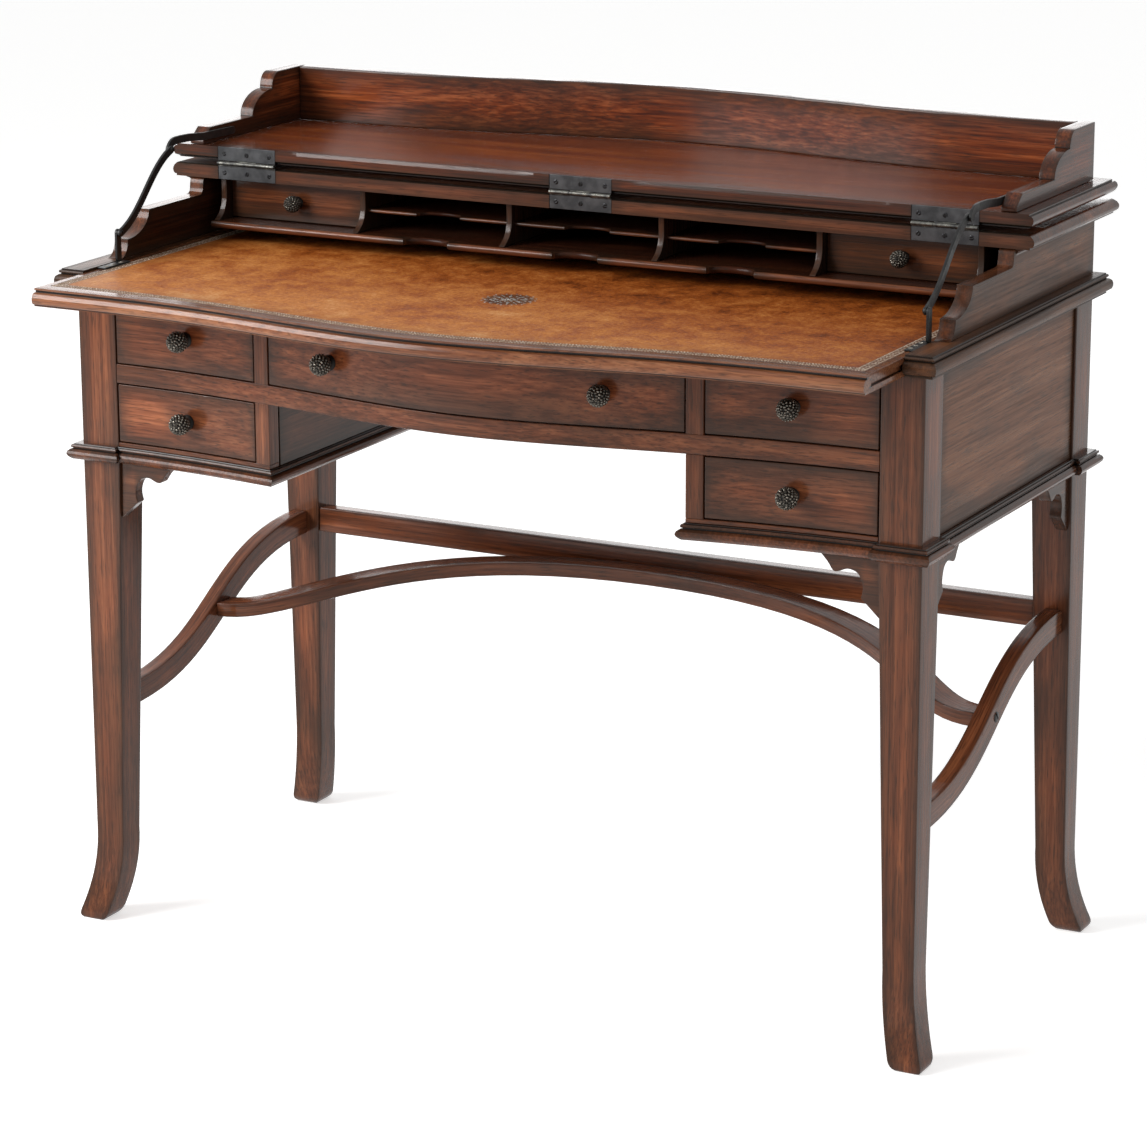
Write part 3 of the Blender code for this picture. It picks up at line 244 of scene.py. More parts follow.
@dataclass(frozen=True)
class Mahogany(Finish):
    """Stained mahogany under an antiquing glaze and wax.

    Straight ribbons and open pores run with the grain. The glaze is wiped off by hand: it stays in
    olive-dark patches and darkens each face softly towards its arrises. The near-black in the quirks
    of the mouldings is glaze together with painted shade, and the same coat paints the shade on the
    top board by the lid's joint. The wax gives a gloss that is duller where the pores are open.
    Figures are given by their width and length. A real pore is some 0.2 mm wide and would not
    show, so pores are drawn coarser.
    """

    deep: str
    body: str
    light: str
    glaze: str = "#282019"
    line: str = "#0F0B08"
    rough_low: float = 0.12
    rough_high: float = 0.25
    rough_span: Point = (0.38, 0.62)
    ribbon: Point = (0.022, 0.55)
    fibre: Point = (0.003, 0.15)
    pore: Point = (0.0013, 0.024)
    cloud: Point = (0.055, 0.14)
    ribbon_share: float = 0.45
    figure_stops: Triple = (0.36, 0.5, 0.64)
    pore_span: Point = (0.56, 0.68)
    pore_glaze: float = 0.55
    patch_span: Point = (0.46, 0.7)
    patch: float = 0.34
    rub_span: Point = (0.3, 0.7)
    rub: Point = (0.45, 1.6)
    veil_reach: float = 0.034
    veil: float = 0.62
    band_reach: float = 0.0075
    # Near-black coat in the quirks: glaze together with painted shade
    band: float = 0.46
    quirk_reach: float = 0.0024
    quirk: float = 0.94
    sheen: float = 0.22
    relief: float = 0.12
    relief_deep: float = 0.0004

    def wire(self, tree: Tree) -> Inputs:
        """Reads the grain, arris and quirk attributes and lays the coats over the wood.

        Args:
            tree: the material's tree.

        Returns:
            What goes into the shader's inputs.
        """
        add = functools.partial(add_node, tree)
        grain = add("ShaderNodeAttribute", "Vector", attribute_name="grain")
        arris = add("ShaderNodeAttribute", "Fac", attribute_name="arris")
        quirk = add("ShaderNodeAttribute", "Fac", attribute_name="quirk")
        layers = []
        for (width, length), detail, bend in (
            (self.ribbon, 4.0, 0.5), (self.fibre, 3.0, 0.1), (self.pore, 1.0, 0.0), (self.cloud, 4.0, 0.5)
        ):
            stretch = (1 / length, 1 / width, 1 / width)
            scaled = add("ShaderNodeVectorMath", 0, (grain, stretch), operation="MULTIPLY")
            values = {"Vector": scaled, "Scale": 1.0, "Detail": detail, "Distortion": bend}
            layers.append(add("ShaderNodeTexNoise", "Fac", values))
        ribbon, fibre, pore, cloud = layers
        part = add("ShaderNodeMath", 0, (ribbon, self.ribbon_share), operation="MULTIPLY")
        figure = add("ShaderNodeMath", 0, (fibre, 1 - self.ribbon_share, part), operation="MULTIPLY_ADD")
        first, middle, last = self.figure_stops
        stops = ((first, self.deep), (last, self.light), (middle, self.body))
        wood = add("ShaderNodeValToRGB", "Color", (figure,), stops)
        filled = add("ShaderNodeMapRange", "Result", (pore, *self.pore_span, 0.0, self.pore_glaze))
        values = (cloud, *self.patch_span, 0.0, self.patch)
        unwiped = add("ShaderNodeMapRange", "Result", values, interpolation_type="SMOOTHSTEP")
        rub = add("ShaderNodeMapRange", "Result", (cloud, *self.rub_span, *self.rub))
        away = add("ShaderNodeMath", 0, (arris, rub), operation="DIVIDE")
        coats = [(filled, self.glaze), (unwiped, self.glaze)]
        for value, reach, share, tint in (
            (away, self.veil_reach, self.veil, self.glaze), (away, self.band_reach, self.band, self.glaze),
            # Near-black in the quirks: glaze and painted shade; it also paints the shade by the lid's joint
            (quirk, self.quirk_reach, self.quirk, self.line),
        ):
            values = (value, 0.0, reach, share, 0.0)
            coat = add("ShaderNodeMapRange", "Result", values, interpolation_type="SMOOTHSTEP")
            coats.append((coat, tint))
        for share, tint in coats:
            wood = add("ShaderNodeMix", 2, {0: share, 6: wood, 7: colour(tint)}, data_type="RGBA")
        values = (figure, *self.rough_span, self.rough_high, self.rough_low)
        rough = add("ShaderNodeMapRange", "Result", values)
        height = add("ShaderNodeMath", 0, (filled, -1.0, fibre), operation="MULTIPLY_ADD")
        values = {"Strength": self.relief, "Distance": self.relief_deep, "Height": height}
        bump = add("ShaderNodeBump", "Normal", values)
        return {"Base Color": wood, "Roughness": rough, "Normal": bump, "Specular IOR Level": self.sheen}


@dataclass(frozen=True)
class Lining(Finish):
    """Plain deal with a thin stain, as on drawer linings: pale, dry and straight in the grain."""

    name: str = "stained_deal_lining"
    dark: str = "#5A3B28"
    pale: str = "#876043"
    ring: Point = (0.012, 0.3)
    fibre: Point = (0.0016, 0.06)
    stain_span: Point = (0.75, 1.25)
    rough: float = 0.68
    relief: float = 0.2
    relief_deep: float = 0.0004

    def wire(self, tree: Tree) -> Inputs:
        """Draws the grain along Y on Object coordinates.

        Args:
            tree: the material's tree.

        Returns:
            What goes into the shader's inputs.
        """
        add = functools.partial(add_node, tree)
        spot = add("ShaderNodeTexCoord", "Object")
        layers = []
        for width, length in (self.ring, self.fibre):
            stretch = (1 / width, 1 / length, 1 / width)
            scaled = add("ShaderNodeVectorMath", 0, (spot, stretch), operation="MULTIPLY")
            values = {"Vector": scaled, "Scale": 1.0, "Detail": 3.0}
            layers.append(add("ShaderNodeTexNoise", "Fac", values))
        both = add("ShaderNodeMath", 0, layers, operation="ADD")
        stain = add("ShaderNodeMapRange", "Result", (both, *self.stain_span))
        wood = add("ShaderNodeValToRGB", "Color", (stain,), ((0.0, self.dark), (1.0, self.pale)))
        values = {"Strength": self.relief, "Distance": self.relief_deep, "Height": layers[1]}
        bump = add("ShaderNodeBump", "Normal", values)
        return {"Base Color": wood, "Roughness": self.rough, "Normal": bump}


@dataclass(frozen=True)
class Leather(Finish):
    """Cognac desk leather, dyed by hand, burnished and waxed.

    The dye lies in clouds and fine mottles and is burnt darker towards the edge. It is paler to the
    front left: painted light from the lamp's side, together with rubbing. A greyish brown border is
    left for the tooling, and the ground of the middle ornament is dark. The skin has a pebble that
    breaks its low sheen. A real pebble is some 0.6 mm wide and would not show, so it is drawn coarser.
    """

    name: str = "hand_dyed_leather"
    dark: str = "#57260B"
    mid: str = "#9B501B"
    pale: str = "#C67E3E"
    # The palest dye, reached in the paler clouds and where the front left is painted paler as lamp light
    rubbed: str = "#DCA671"
    border: str = "#5F4738"
    ground: str = "#1E120D"
    pebble: float = 0.0014
    pebble_share: float = 0.8
    rough: Point = (0.4, 0.6)
    rough_span: Point = (0.3, 0.7)
    # Dye paler towards the front left: painted light from the lamp's side, with rubbing
    drift: Triple = (-0.036 / 0.48, -0.074 / 0.24, 0.0)
    dyes: tuple[Triple, ...] = ((0.11, 3.0, 0.32), (0.022, 5.0, 0.32), (0.0042, 3.0, 0.26))
    dye_rough: float = 0.6
    stops: tuple[float, ...] = (0.34, 0.45, 0.57, 0.67)
    border_wide: float = 0.0135
    border_soft: float = 0.001
    border_share: float = 0.8
    ornament: float = 0.031
    ornament_soft: float = 0.8
    ornament_share: float = 0.75
    burnish_reach: float = 0.055
    burnish: float = 0.3
    sheen: float = 0.14
    relief: float = 0.4
    relief_deep: float = 0.0006

    def wire(self, tree: Tree) -> Inputs:
        """Lays the dyes on Object coordinates and reads the distance to the edge.

        Args:
            tree: the material's tree.

        Returns:
            What goes into the shader's inputs.
        """
        add = functools.partial(add_node, tree)
        spot = add("ShaderNodeTexCoord", "Object")
        arris = add("ShaderNodeAttribute", "Fac", attribute_name="arris")
        # The dye starts from the painted light towards the front left
        stain = add("ShaderNodeVectorMath", "Value", (spot, self.drift), operation="DOT_PRODUCT")
        layers = []
        for wide, detail, share in self.dyes:
            values = {"Vector": spot, "Scale": 1 / wide, "Detail": detail, "Roughness": self.dye_rough}
            layers.append(add("ShaderNodeTexNoise", "Fac", values))
            stain = add("ShaderNodeMath", 0, (layers[-1], share, stain), operation="MULTIPLY_ADD")
        _, mottle, fleck = layers
        first, second, third, last = self.stops
        stops = ((first, self.dark), (last, self.rubbed), (second, self.mid), (third, self.pale))
        hide = add("ShaderNodeValToRGB", "Color", (stain,), stops)
        centre = (0, ORNAMENT_Y + FACE_Y, WRITING_Z)
        away = add("ShaderNodeVectorMath", "Value", (spot, centre), operation="DISTANCE")
        border = (self.border_wide - self.border_soft, self.border_wide)
        middle = (self.ornament * self.ornament_soft, self.ornament)
        for value, span, share, tint, way in (
            (arris, (0.0, self.burnish_reach), self.burnish, self.dark, "SMOOTHSTEP"),
            (arris, border, self.border_share, self.border, "LINEAR"),
            (away, middle, self.ornament_share, self.ground, "LINEAR"),
        ):
            coat = add("ShaderNodeMapRange", "Result", (value, *span, share, 0.0), interpolation_type=way)
            hide = add("ShaderNodeMix", 2, {0: coat, 6: hide, 7: colour(tint)}, data_type="RGBA")
        rough = add("ShaderNodeMapRange", "Result", (mottle, *self.rough_span, *self.rough))
        cells = add("ShaderNodeTexVoronoi", "Distance", {"Vector": spot, "Scale": 1 / self.pebble})
        skin = add("ShaderNodeMath", 0, (cells, -self.pebble_share, fleck), operation="MULTIPLY_ADD")
        values = {"Strength": self.relief, "Distance": self.relief_deep, "Height": skin}
        bump = add("ShaderNodeBump", "Normal", values)
        return {"Base Color": hide, "Roughness": rough, "Normal": bump, "Specular IOR Level": self.sheen}


@dataclass(frozen=True)
class WorkedMetal(Finish):
    """Forged or cast metal under a patina: cloudy in colour, rubbed brighter in places."""

    dark: str
    bright: str
    metallic: float
    rough_low: float
    rough_high: float
    cloud: float
    pit: float = 0.0012
    stops: Point = (0.38, 0.68)
    rough_span: Point = (0.35, 0.65)
    relief: float = 0.25
    relief_deep: float = 0.0004

    def wire(self, tree: Tree) -> Inputs:
        """Lays clouds and pits on Object coordinates.

        Args:
            tree: the material's tree.

        Returns:
            What goes into the shader's inputs.
        """
        add = functools.partial(add_node, tree)
        spot = add("ShaderNodeTexCoord", "Object")
        cloud, pit = (
            add("ShaderNodeTexNoise", "Fac", {"Vector": spot, "Scale": 1 / wide, "Detail": detail})
            for wide, detail in ((self.cloud, 4.0), (self.pit, 2.0))
        )
        stops = tuple(zip(self.stops, (self.dark, self.bright)))
        skin = add("ShaderNodeValToRGB", "Color", (cloud,), stops)
        values = (cloud, *self.rough_span, self.rough_high, self.rough_low)
        rough = add("ShaderNodeMapRange", "Result", values)
        values = {"Strength": self.relief, "Distance": self.relief_deep, "Height": pit}
        bump = add("ShaderNodeBump", "Normal", values)
        return {"Base Color": skin, "Roughness": rough, "Normal": bump, "Metallic": self.metallic}


# Red-brown with a wax gloss: the desk's common finish
MAHOGANY = Mahogany("waxed_mahogany", deep="#5A2F1B", body="#7F462B", light="#9F5E3B")
# Browner and satin, where the glaze is left thick
PANEL_MAHOGANY = Mahogany(
    "thickly_glazed_mahogany", deep="#5C371F", body="#794A2C", light="#925E39", rough_low=0.26,
    rough_high=0.4, sheen=0.12,
)
# Paler, with little glaze left, where hands rub the slide
RUBBED_MAHOGANY = Mahogany(
    "rubbed_mahogany", deep="#6A3A23", body="#8E5638", light="#AA704C", patch=0.2, veil=0.22, band=0.12,
    sheen=0.27,
)
# Redder and clearer, on the lid and its gallery
RED_MAHOGANY = Mahogany("red_mahogany", deep="#451A0B", body="#733519", light="#A0562F", patch=0.24)
# Painted shade: nearly black brown inside the pigeonholes, on the back of the upper case and on the inner
# faces of its sides
SHADED_MAHOGANY = Mahogany("shaded_mahogany", deep="#22100A", body="#351A10", light="#4A2818", sheen=0.08)
# Dark all over, on the kneehole's cheeks: heavy glaze together with painted shade of the kneehole
GLAZE_AND_SHADE_MAHOGANY = Mahogany("heavily_glazed_mahogany", deep="#44281A", body="#5B3826", light="#734730")
# Painted shadow: black without a shine, on the faces of the joint between the top board and the lid
JOINT_SHADOW = Mahogany("black_glaze", deep="#070504", body="#0B0806", light="#120D09", sheen=0.02)
# The common finish without its gloss, on the floor of the lid's joint
DULL_MAHOGANY = replace(MAHOGANY, name="unpolished_mahogany", sheen=0.02, rough_low=0.5, rough_high=0.6)
# The common finish wiped cleaner at its arrises, on narrow rails
WIPED_MAHOGANY = replace(MAHOGANY, name="wiped_mahogany", veil=0.34, band=0.3)
# Painted shade inside the upper case: darker than the outside, on the small drawers and the noses of the
# shelves
SHADE_DARKENED_MAHOGANY = replace(
    MAHOGANY, name="unfaded_mahogany", deep="#452415", body="#633721", light="#7E4A2E"
)
LINING = Lining()
HIDE = Leather()
# Dark satin bars, greyer hammered hinges, and knuckles in a paler iron: rubbing together with a painted
# highlight along them
IRON = WorkedMetal("blackened_iron", "#191919", "#2B2B2B", 0.5, 0.32, 0.48, cloud=0.012)
HINGE_IRON = WorkedMetal("hammered_hinge_iron", "#2E2F31", "#4A4B4D", 0.6, 0.34, 0.5, cloud=0.014)
KNUCKLE_HIGHLIGHT_IRON = WorkedMetal("rubbed_iron", "#3E3E3D", "#77766F", 0.8, 0.26, 0.4, cloud=0.006)
DARK_SCREW = WorkedMetal("blackened_screw", "#121212", "#26262A", 0.6, 0.3, 0.45, cloud=0.004)
# A near-black knob whose beads catch the light
BRONZE = WorkedMetal("patinated_bronze", "#0D0B09", "#1E1A16", 0.7, 0.4, 0.55, cloud=0.006)
BEAD_BRONZE = WorkedMetal("rubbed_bronze_beads", "#3A3732", "#79736A", 0.9, 0.22, 0.36, cloud=0.004)
# Bright screws on the stays' plates
SCREW_STEEL = WorkedMetal("worn_steel", "#6F6A62", "#A8A297", 1.0, 0.3, 0.45, cloud=0.004)
# Tooling on the leather: a pale border and a silvery ornament
BLIND_TOOLING = WorkedMetal("blind_tooled_leather", "#8C745F", "#DCCBB6", 0.0, 0.4, 0.55, cloud=0.005)
SILVER_LEAF = WorkedMetal("rubbed_silver_leaf", "#5A544E", "#D5D1CA", 0.7, 0.28, 0.5, cloud=0.0024)


# Curves


def spread(first: float, last: float, steps: int) -> list[float]:
    """Even places from first to last, both included."""
    return [first + (last - first) * step / steps for step in range(steps + 1)]


def hermite(share: float, start: float, start_slope: float, end: float, end_slope: float) -> float:
    """A cubic between two values with given slopes.

    Args:
        share: how far along, from 0 to 1.
        start, start_slope: value and slope at the start.
        end, end_slope: value and slope at the end.

    Returns:
        The value at that share.
    """
    square = share * share
    cube = square * share
    left = (2 * cube - 3 * square + 1) * start + (cube - 2 * square + share) * start_slope
    return left + (3 * square - 2 * cube) * end + (cube - square) * end_slope


def bezier(points: Places, steps: int) -> Ring:
    """Points along a cubic curve.

    Args:
        points: its four control points.
        steps: number of steps.

    Returns:
        The points, both ends included.
    """
    first, second, third, last = (Vector(point) for point in points)
    found = []
    for share in spread(0, 1, steps):
        rest = 1 - share
        lead = first * rest**3 + second * 3 * rest**2 * share
        found.append(lead + third * 3 * rest * share**2 + last * share**3)
    return found


def smooth(points: Places, steps: int) -> Ring:
    """A smooth curve through points.

    Args:
        points: the points.
        steps: number of steps between two of them.

    Returns:
        Points along the curve.
    """
    places = [Vector(point) for point in points]
    found = [places[0]]
    for here in range(len(places) - 1):
        before = places[max(here - 1, 0)]
        after = places[min(here + 2, len(places) - 1)]
        lead = places[here] + (places[here + 1] - before) / 6
        trail = places[here + 1] - (after - places[here]) / 6
        found += bezier((places[here], lead, trail, places[here + 1]), steps)[1:]
    return found


def arc(centre: Point, radii: Point, start: float, end: float, steps: int) -> Ring:
    """Points on an ellipse.

    Args:
        centre, radii: its middle and its two radii.
        start, end: first and last angle in degrees.
        steps: number of steps.

    Returns:
        The points, both ends included.
    """
    found = []
    for angle in spread(start, end, steps):
        turn = math.radians(angle)
        found.append(Vector((centre[0] + radii[0] * math.cos(turn), centre[1] + radii[1] * math.sin(turn))))
    return found


def tangent(line: Sequence[Vector], here: int) -> Vector:
    """The step along a line from the point before a place to the one after it."""
    return line[min(here + 1, len(line) - 1)] - line[max(here - 1, 0)]


@dataclass(frozen=True)
class Serpentine:
    """The bowed plan of a front: two flat ends, a knee on each side and a full middle.

    Args:
        knee: how far the knees stand ahead of the ends.
        centre: how far the middle stands ahead of the ends.
    """

    knee: float
    centre: float
    knee_x: float = 0.2643
    knee_slope: float = 0.15
    station: float = 0.012
    turn_step: float = 0.001

    def at(self, across: float) -> float:
        """How far the front stands ahead of its ends.

        Args:
            across: a place across the desk.

        Returns:
            The distance there.
        """
        across = abs(across)
        if across >= LEG_IN_X:
            return 0.0
        if across >= self.knee_x:
            span = LEG_IN_X - self.knee_x
            return hermite((across - self.knee_x) / span, self.knee, -self.knee_slope * span, 0.0, 0.0)
        share = across / self.knee_x
        return hermite(share, self.centre, 0.0, self.knee, -self.knee_slope * self.knee_x)

    def turn(self, across: float) -> float:
        """The turn of the front's surface about the vertical at a place, in radians."""
        step = self.turn_step
        return math.atan((self.at(across - step) - self.at(across + step)) / (2 * step))

    def stations(self, left: float, right: float) -> list[float]:
        """Places across the front close enough together to look round."""
        return spread(left, right, max(2, round(abs(right - left) / self.station)))


CASE_BOW = Serpentine(knee=0.0165, centre=0.054)
SLIDE_BOW = Serpentine(knee=0.0115, centre=0.0465)


# Stock: meshes with their grain


def node_box(node: str) -> tuple[Vector, Vector]:
    """Lowest and highest corner of a node of the frame, in desk coordinates."""
    low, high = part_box(node)
    return low - Vector(SHIFT), high - Vector(SHIFT)


def loft(rings: Sequence[Places]) -> Shape:
    """A closed shape through rings.

    Args:
        rings: rings of points, each with the same number.

    Returns:
        The shape.
    """
    shape = bmesh.new()
    rows = [[shape.verts.new(point) for point in ring] for ring in rings]
    count = len(rows[0])
    for lower, upper in zip(rows, rows[1:]):
        for here in range(count):
            there = (here + 1) % count
            shape.faces.new((lower[here], lower[there], upper[there], upper[here]))
    shape.faces.new(rows[0][::-1])
    shape.faces.new(rows[-1])
    bmesh.ops.remove_doubles(shape, verts=shape.verts, dist=WELD)
    return shape


def block(low: Sequence[float], high: Sequence[float]) -> Shape:
    """A squared block.

    Args:
        low, high: its lowest and highest corner.

    Returns:
        The shape.
    """
    (x0, y0, z0), (x1, y1, z1) = low, high
    plan = ((x0, y0), (x1, y0), (x1, y1), (x0, y1))
    return loft([[(x, y, z) for x, y in plan] for z in (z0, z1)])


def sawn(outline: Places, side: Side | None, near: float, far: float) -> Shape:
    """A board sawn to an outline and set upright.

    Args:
        outline: points of (Y, Z) for a board that faces sideways, or (X, Z) for one that faces
            forward.
        side: the end of the desk for a sideways board, or None for a forward one.
        near, far: distance of its two faces from the middle, or their Y.

    Returns:
        The shape.
    """
    if side is None:
        return loft([[(u, depth, v) for u, v in outline] for depth in (near, far)])
    return loft([[(side.value * depth, u, v) for u, v in outline] for depth in (near, far)])


def bowed(span: Point, front: Curve, rear: Curve, rise: Point, bow: Serpentine = CASE_BOW) -> Shape:
    """A strip across the desk whose front and rear follow curves in plan.

    Args:
        span: its left and right.
        front, rear: Y of its front and rear at a place across.
        rise: its bottom and top.
        bow: the bow that says how close its stations are.

    Returns:
        The shape.
    """
    low, high = rise
    rings = []
    for x in bow.stations(*span):
        rings.append([(x, front(x), low), (x, rear(x), low), (x, rear(x), high), (x, front(x), high)])
    return loft(rings)


def offset_ring(plan: Sequence[Point], amounts: Sequence[float]) -> Ring:
    """A plan with its edges moved out.

    Args:
        plan: its corners, anticlockwise.
        amounts: how far the edge that starts at each corner moves out.

    Returns:
        The new corners.
    """
    places = [Vector(point) for point in plan]
    count = len(places)
    normals = []
    for here in range(count):
        along = (places[(here + 1) % count] - places[here]).normalized()
        normals.append(Vector((along.y, -along.x)))
    ring = []
    for here in range(count):
        first, second = normals[here - 1], normals[here]
        one, two = amounts[here - 1], amounts[here]
        turn = first.x * second.y - first.y * second.x
        if abs(turn) < STRAIGHT:
            move = (first + second).normalized() * (one + two) / 2
        else:
            move = Vector((one * second.y - two * first.y, two * first.x - one * second.x)) / turn
        ring.append(places[here] + move)
    return ring


def level(ring: Sequence[Vector], height: float) -> list[Triple]:
    """A plan's ring at a height."""
    return [(point.x, point.y, height) for point in ring]


def edge_rings(
    plan: Sequence[Point], edges: Sequence[Edge], rows: Sequence[tuple[float, dict[Edge, float]]]
) -> list[list[Triple]]:
    """Rings of a board at some heights, its edges moved out there as their kinds are worked."""
    return [
        level(offset_ring(plan, [outs.get(edge, 0.0) for edge in edges]), height) for height, outs in rows
    ]


@dataclass
class Stock:
    """A worked piece: its mesh, the run of its grain and how near its arrises and quirks are."""

    points: np.ndarray
    faces: list[list[int]]
    grain: np.ndarray
    arris: np.ndarray
    quirk: np.ndarray


def edge_distance(points: np.ndarray, edges: Sequence[Places]) -> np.ndarray:
    """Distance of points to the nearest of some edges.

    Args:
        points: the points.
        edges: both ends of each edge.

    Returns:
        The distance of each point, held to a longest reach.
    """
    nearest = np.full(len(points), ARRIS_REACH)
    if not len(edges):
        return nearest
    arrises = np.array(edges)
    start = arrises[:, 0]
    span = arrises[:, 1] - start
    length = np.maximum((span**2).sum(1), TINY)
    for chosen in np.array_split(np.arange(len(points)), len(points) // BATCH + 1):
        away = points[chosen][:, None, :] - start[None]
        share = np.clip((away * span).sum(2) / length, 0, 1)
        gap = np.linalg.norm(away - share[..., None] * span, axis=2)
        nearest[chosen] = np.minimum(gap.min(1), ARRIS_REACH)
    return nearest


def worked(shape: Shape, run: Grain, ease: float = EASE, cell: float = CELL) -> Stock:
    """Eases a shape's arrises and records its grain.

    Args:
        shape: the squared shape, which is used up.
        run: the way of the grain.
        ease: how far each arris is rounded.
        cell: the longest a face is left, so that the glaze along the arrises has points to sit on.

    Returns:
        The worked piece.
    """
    bmesh.ops.recalc_face_normals(shape, faces=shape.faces)
    sharp = [edge for edge in shape.edges if edge.calc_face_angle(0) > ARRIS_ANGLE]
    ends = [(edge.is_convex, [tuple(vert.co) for vert in edge.verts]) for edge in sharp]
    arrises = [pair for convex, pair in ends if convex]
    quirks = [pair for convex, pair in ends if not convex]
    if ease and sharp:
        bmesh.ops.bevel(
            shape, geom=sharp, offset=ease, offset_type="OFFSET", segments=2, profile=0.5,
            affect="EDGES", clamp_overlap=True,
        )
    corners = np.array([vert.co for vert in shape.verts])
    low, high = corners.min(0), corners.max(0)
    for axis in range(3):
        size = high[axis] - low[axis]
        pieces = max(math.ceil(size / cell), 4 if size > NARROW else 1)
        for place in spread(low[axis], high[axis], pieces)[1:-1]:
            way = [0.0, 0.0, 0.0]
            way[axis] = 1.0
            bmesh.ops.bisect_plane(
                shape, geom=shape.verts[:] + shape.edges[:] + shape.faces[:], dist=WELD,
                plane_co=[place * step for step in way], plane_no=way,
            )
    shape.verts.index_update()
    points = np.array([vert.co for vert in shape.verts])
    faces = [[vert.index for vert in face.verts] for face in shape.faces]
    shape.free()
    grain = points[:, run.value] + GRAIN_DRAWS.uniform(-LOG_REACH, LOG_REACH, 3)
    return Stock(points, faces, grain, edge_distance(points, arrises), edge_distance(points, quirks))


def bent_grain(stock: Stock, line: Places, across: Sequence[float]) -> Stock:
    """Lets a piece's grain follow a line, as in a bent piece.

    Args:
        stock: the worked piece, whose grain is written anew.
        line: points along the middle of the piece.
        across: a way square to the line all along it.

    Returns:
        The same piece.
    """
    path = np.array([tuple(point) for point in line])
    span = np.diff(path, axis=0)
    length = np.linalg.norm(span, axis=1)
    away = stock.points[:, None, :] - path[None, :-1]
    share = np.clip((away * span).sum(2) / length**2, 0, 1)
    gap = away - share[..., None] * span
    near = np.linalg.norm(gap, axis=2).argmin(1)
    row = np.arange(len(near))
    gap = gap[row, near]
    along = np.concatenate([[0.0], np.cumsum(length)])[near] + share[row, near] * length[near]
    rise = (gap * np.cross(span[near] / length[near, None], across)).sum(1)
    start = stock.grain.mean(0)
    stock.grain = np.column_stack([along, gap @ np.array(across), rise]) + start
    return stock


def baked(holder: bpy.types.Object, layers: bool, helpers: Sequence[bpy.types.Object] = ()) -> Mesh:
    """Applies an object's modifiers.

    Args:
        holder: the object, which is removed afterwards.
        layers: whether the mesh keeps all its attributes.
        helpers: objects that its modifiers use, removed too.

    Returns:
        The mesh that the modifiers make.
    """
    for item in (holder, *helpers):
        bpy.context.scene.collection.objects.link(item)
    graph = bpy.context.evaluated_depsgraph_get()
    made = bpy.data.meshes.new_from_object(
        holder.evaluated_get(graph), preserve_all_data_layers=layers, depsgraph=graph
    )
    for item in (holder, *helpers):
        bpy.data.objects.remove(item, do_unlink=True)
    return made


def rounded(mesh: Mesh) -> Mesh:
    """Shades a mesh smooth but for its sharp edges.

    Args:
        mesh: the mesh.

    Returns:
        The same mesh.
    """
    mesh.shade_smooth()
    mesh.set_sharp_from_angle(angle=SMOOTH_ANGLE)
    return mesh


def joined(name: str, stocks: Sequence[Stock]) -> Mesh:
    """One mesh of several worked pieces, with their grain, arrises and quirks.

    Its normals are weighted by area, so that flats stay flat up to their eased arrises.

    Args:
        name: name of the mesh.
        stocks: the pieces.

    Returns:
        The mesh, in the frame's place.
    """
    points = np.concatenate([stock.points for stock in stocks]) + np.array(SHIFT)
    faces = []
    first = 0
    for stock in stocks:
        faces += [[first + index for index in face] for face in stock.faces]
        first += len(stock.points)
    mesh = bpy.data.meshes.new(name + "_raw")
    mesh.from_pydata(points.tolist(), [], faces)
    for kind, sort, key in (
        ("grain", "FLOAT_VECTOR", "vector"), ("arris", "FLOAT", "value"), ("quirk", "FLOAT", "value")
    ):
        values = np.concatenate([getattr(stock, kind) for stock in stocks]).astype("f").ravel()
        mesh.attributes.new(kind, sort, "POINT").data.foreach_set(key, values)
    holder = bpy.data.objects.new("levelled_holder", rounded(mesh))
    weighted = holder.modifiers.new("levelled", "WEIGHTED_NORMAL")
    weighted.keep_sharp = True
    weighted.weight = 90
    made = baked(holder, layers=True)
    bpy.data.meshes.remove(mesh)
    made.name = name
    return made


def finished(mesh: Mesh, *finishes: Finish) -> Mesh:
    """Gives a mesh its finishes, in order.

    Args:
        mesh: the mesh.
        finishes: the finishes, the first one for all faces as they are.

    Returns:
        The same mesh.
    """
    for finish in finishes:
        mesh.materials.append(finish.material())
    return mesh


def place(name: str, mesh: Mesh, slot: Slot, body: str, nodes: Sequence[str] = ()) -> None:
    """Puts a finished mesh on a body of the frame.

    Args:
        name: name of the piece.
        mesh: its mesh, already in the frame's place.
        slot: the record's slot for its finish; not used.
        body: the body that it moves with.
        nodes: the CAD nodes that it stands for.
    """
    item = bpy.data.objects.new(name, mesh)
    bpy.context.scene.collection.objects.link(item)
    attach(item, body)
    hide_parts(*nodes)
    LOG.info("%s: %d faces on %s", name, len(mesh.polygons), body)


def fit(
    node: str, stocks: Sequence[Stock], finish: Finish, body: str = "frame", slot: Slot = Slot.MAHOGANY,
    tail: str = "_wood", stands: bool = True,
) -> None:
    """Joins worked pieces and places them under a CAD node's name, with a tail to it."""
    mesh = finished(joined(node + tail, stocks), finish)
    place(node + tail, mesh, slot, body, [node] if stands else [])


# Repeats


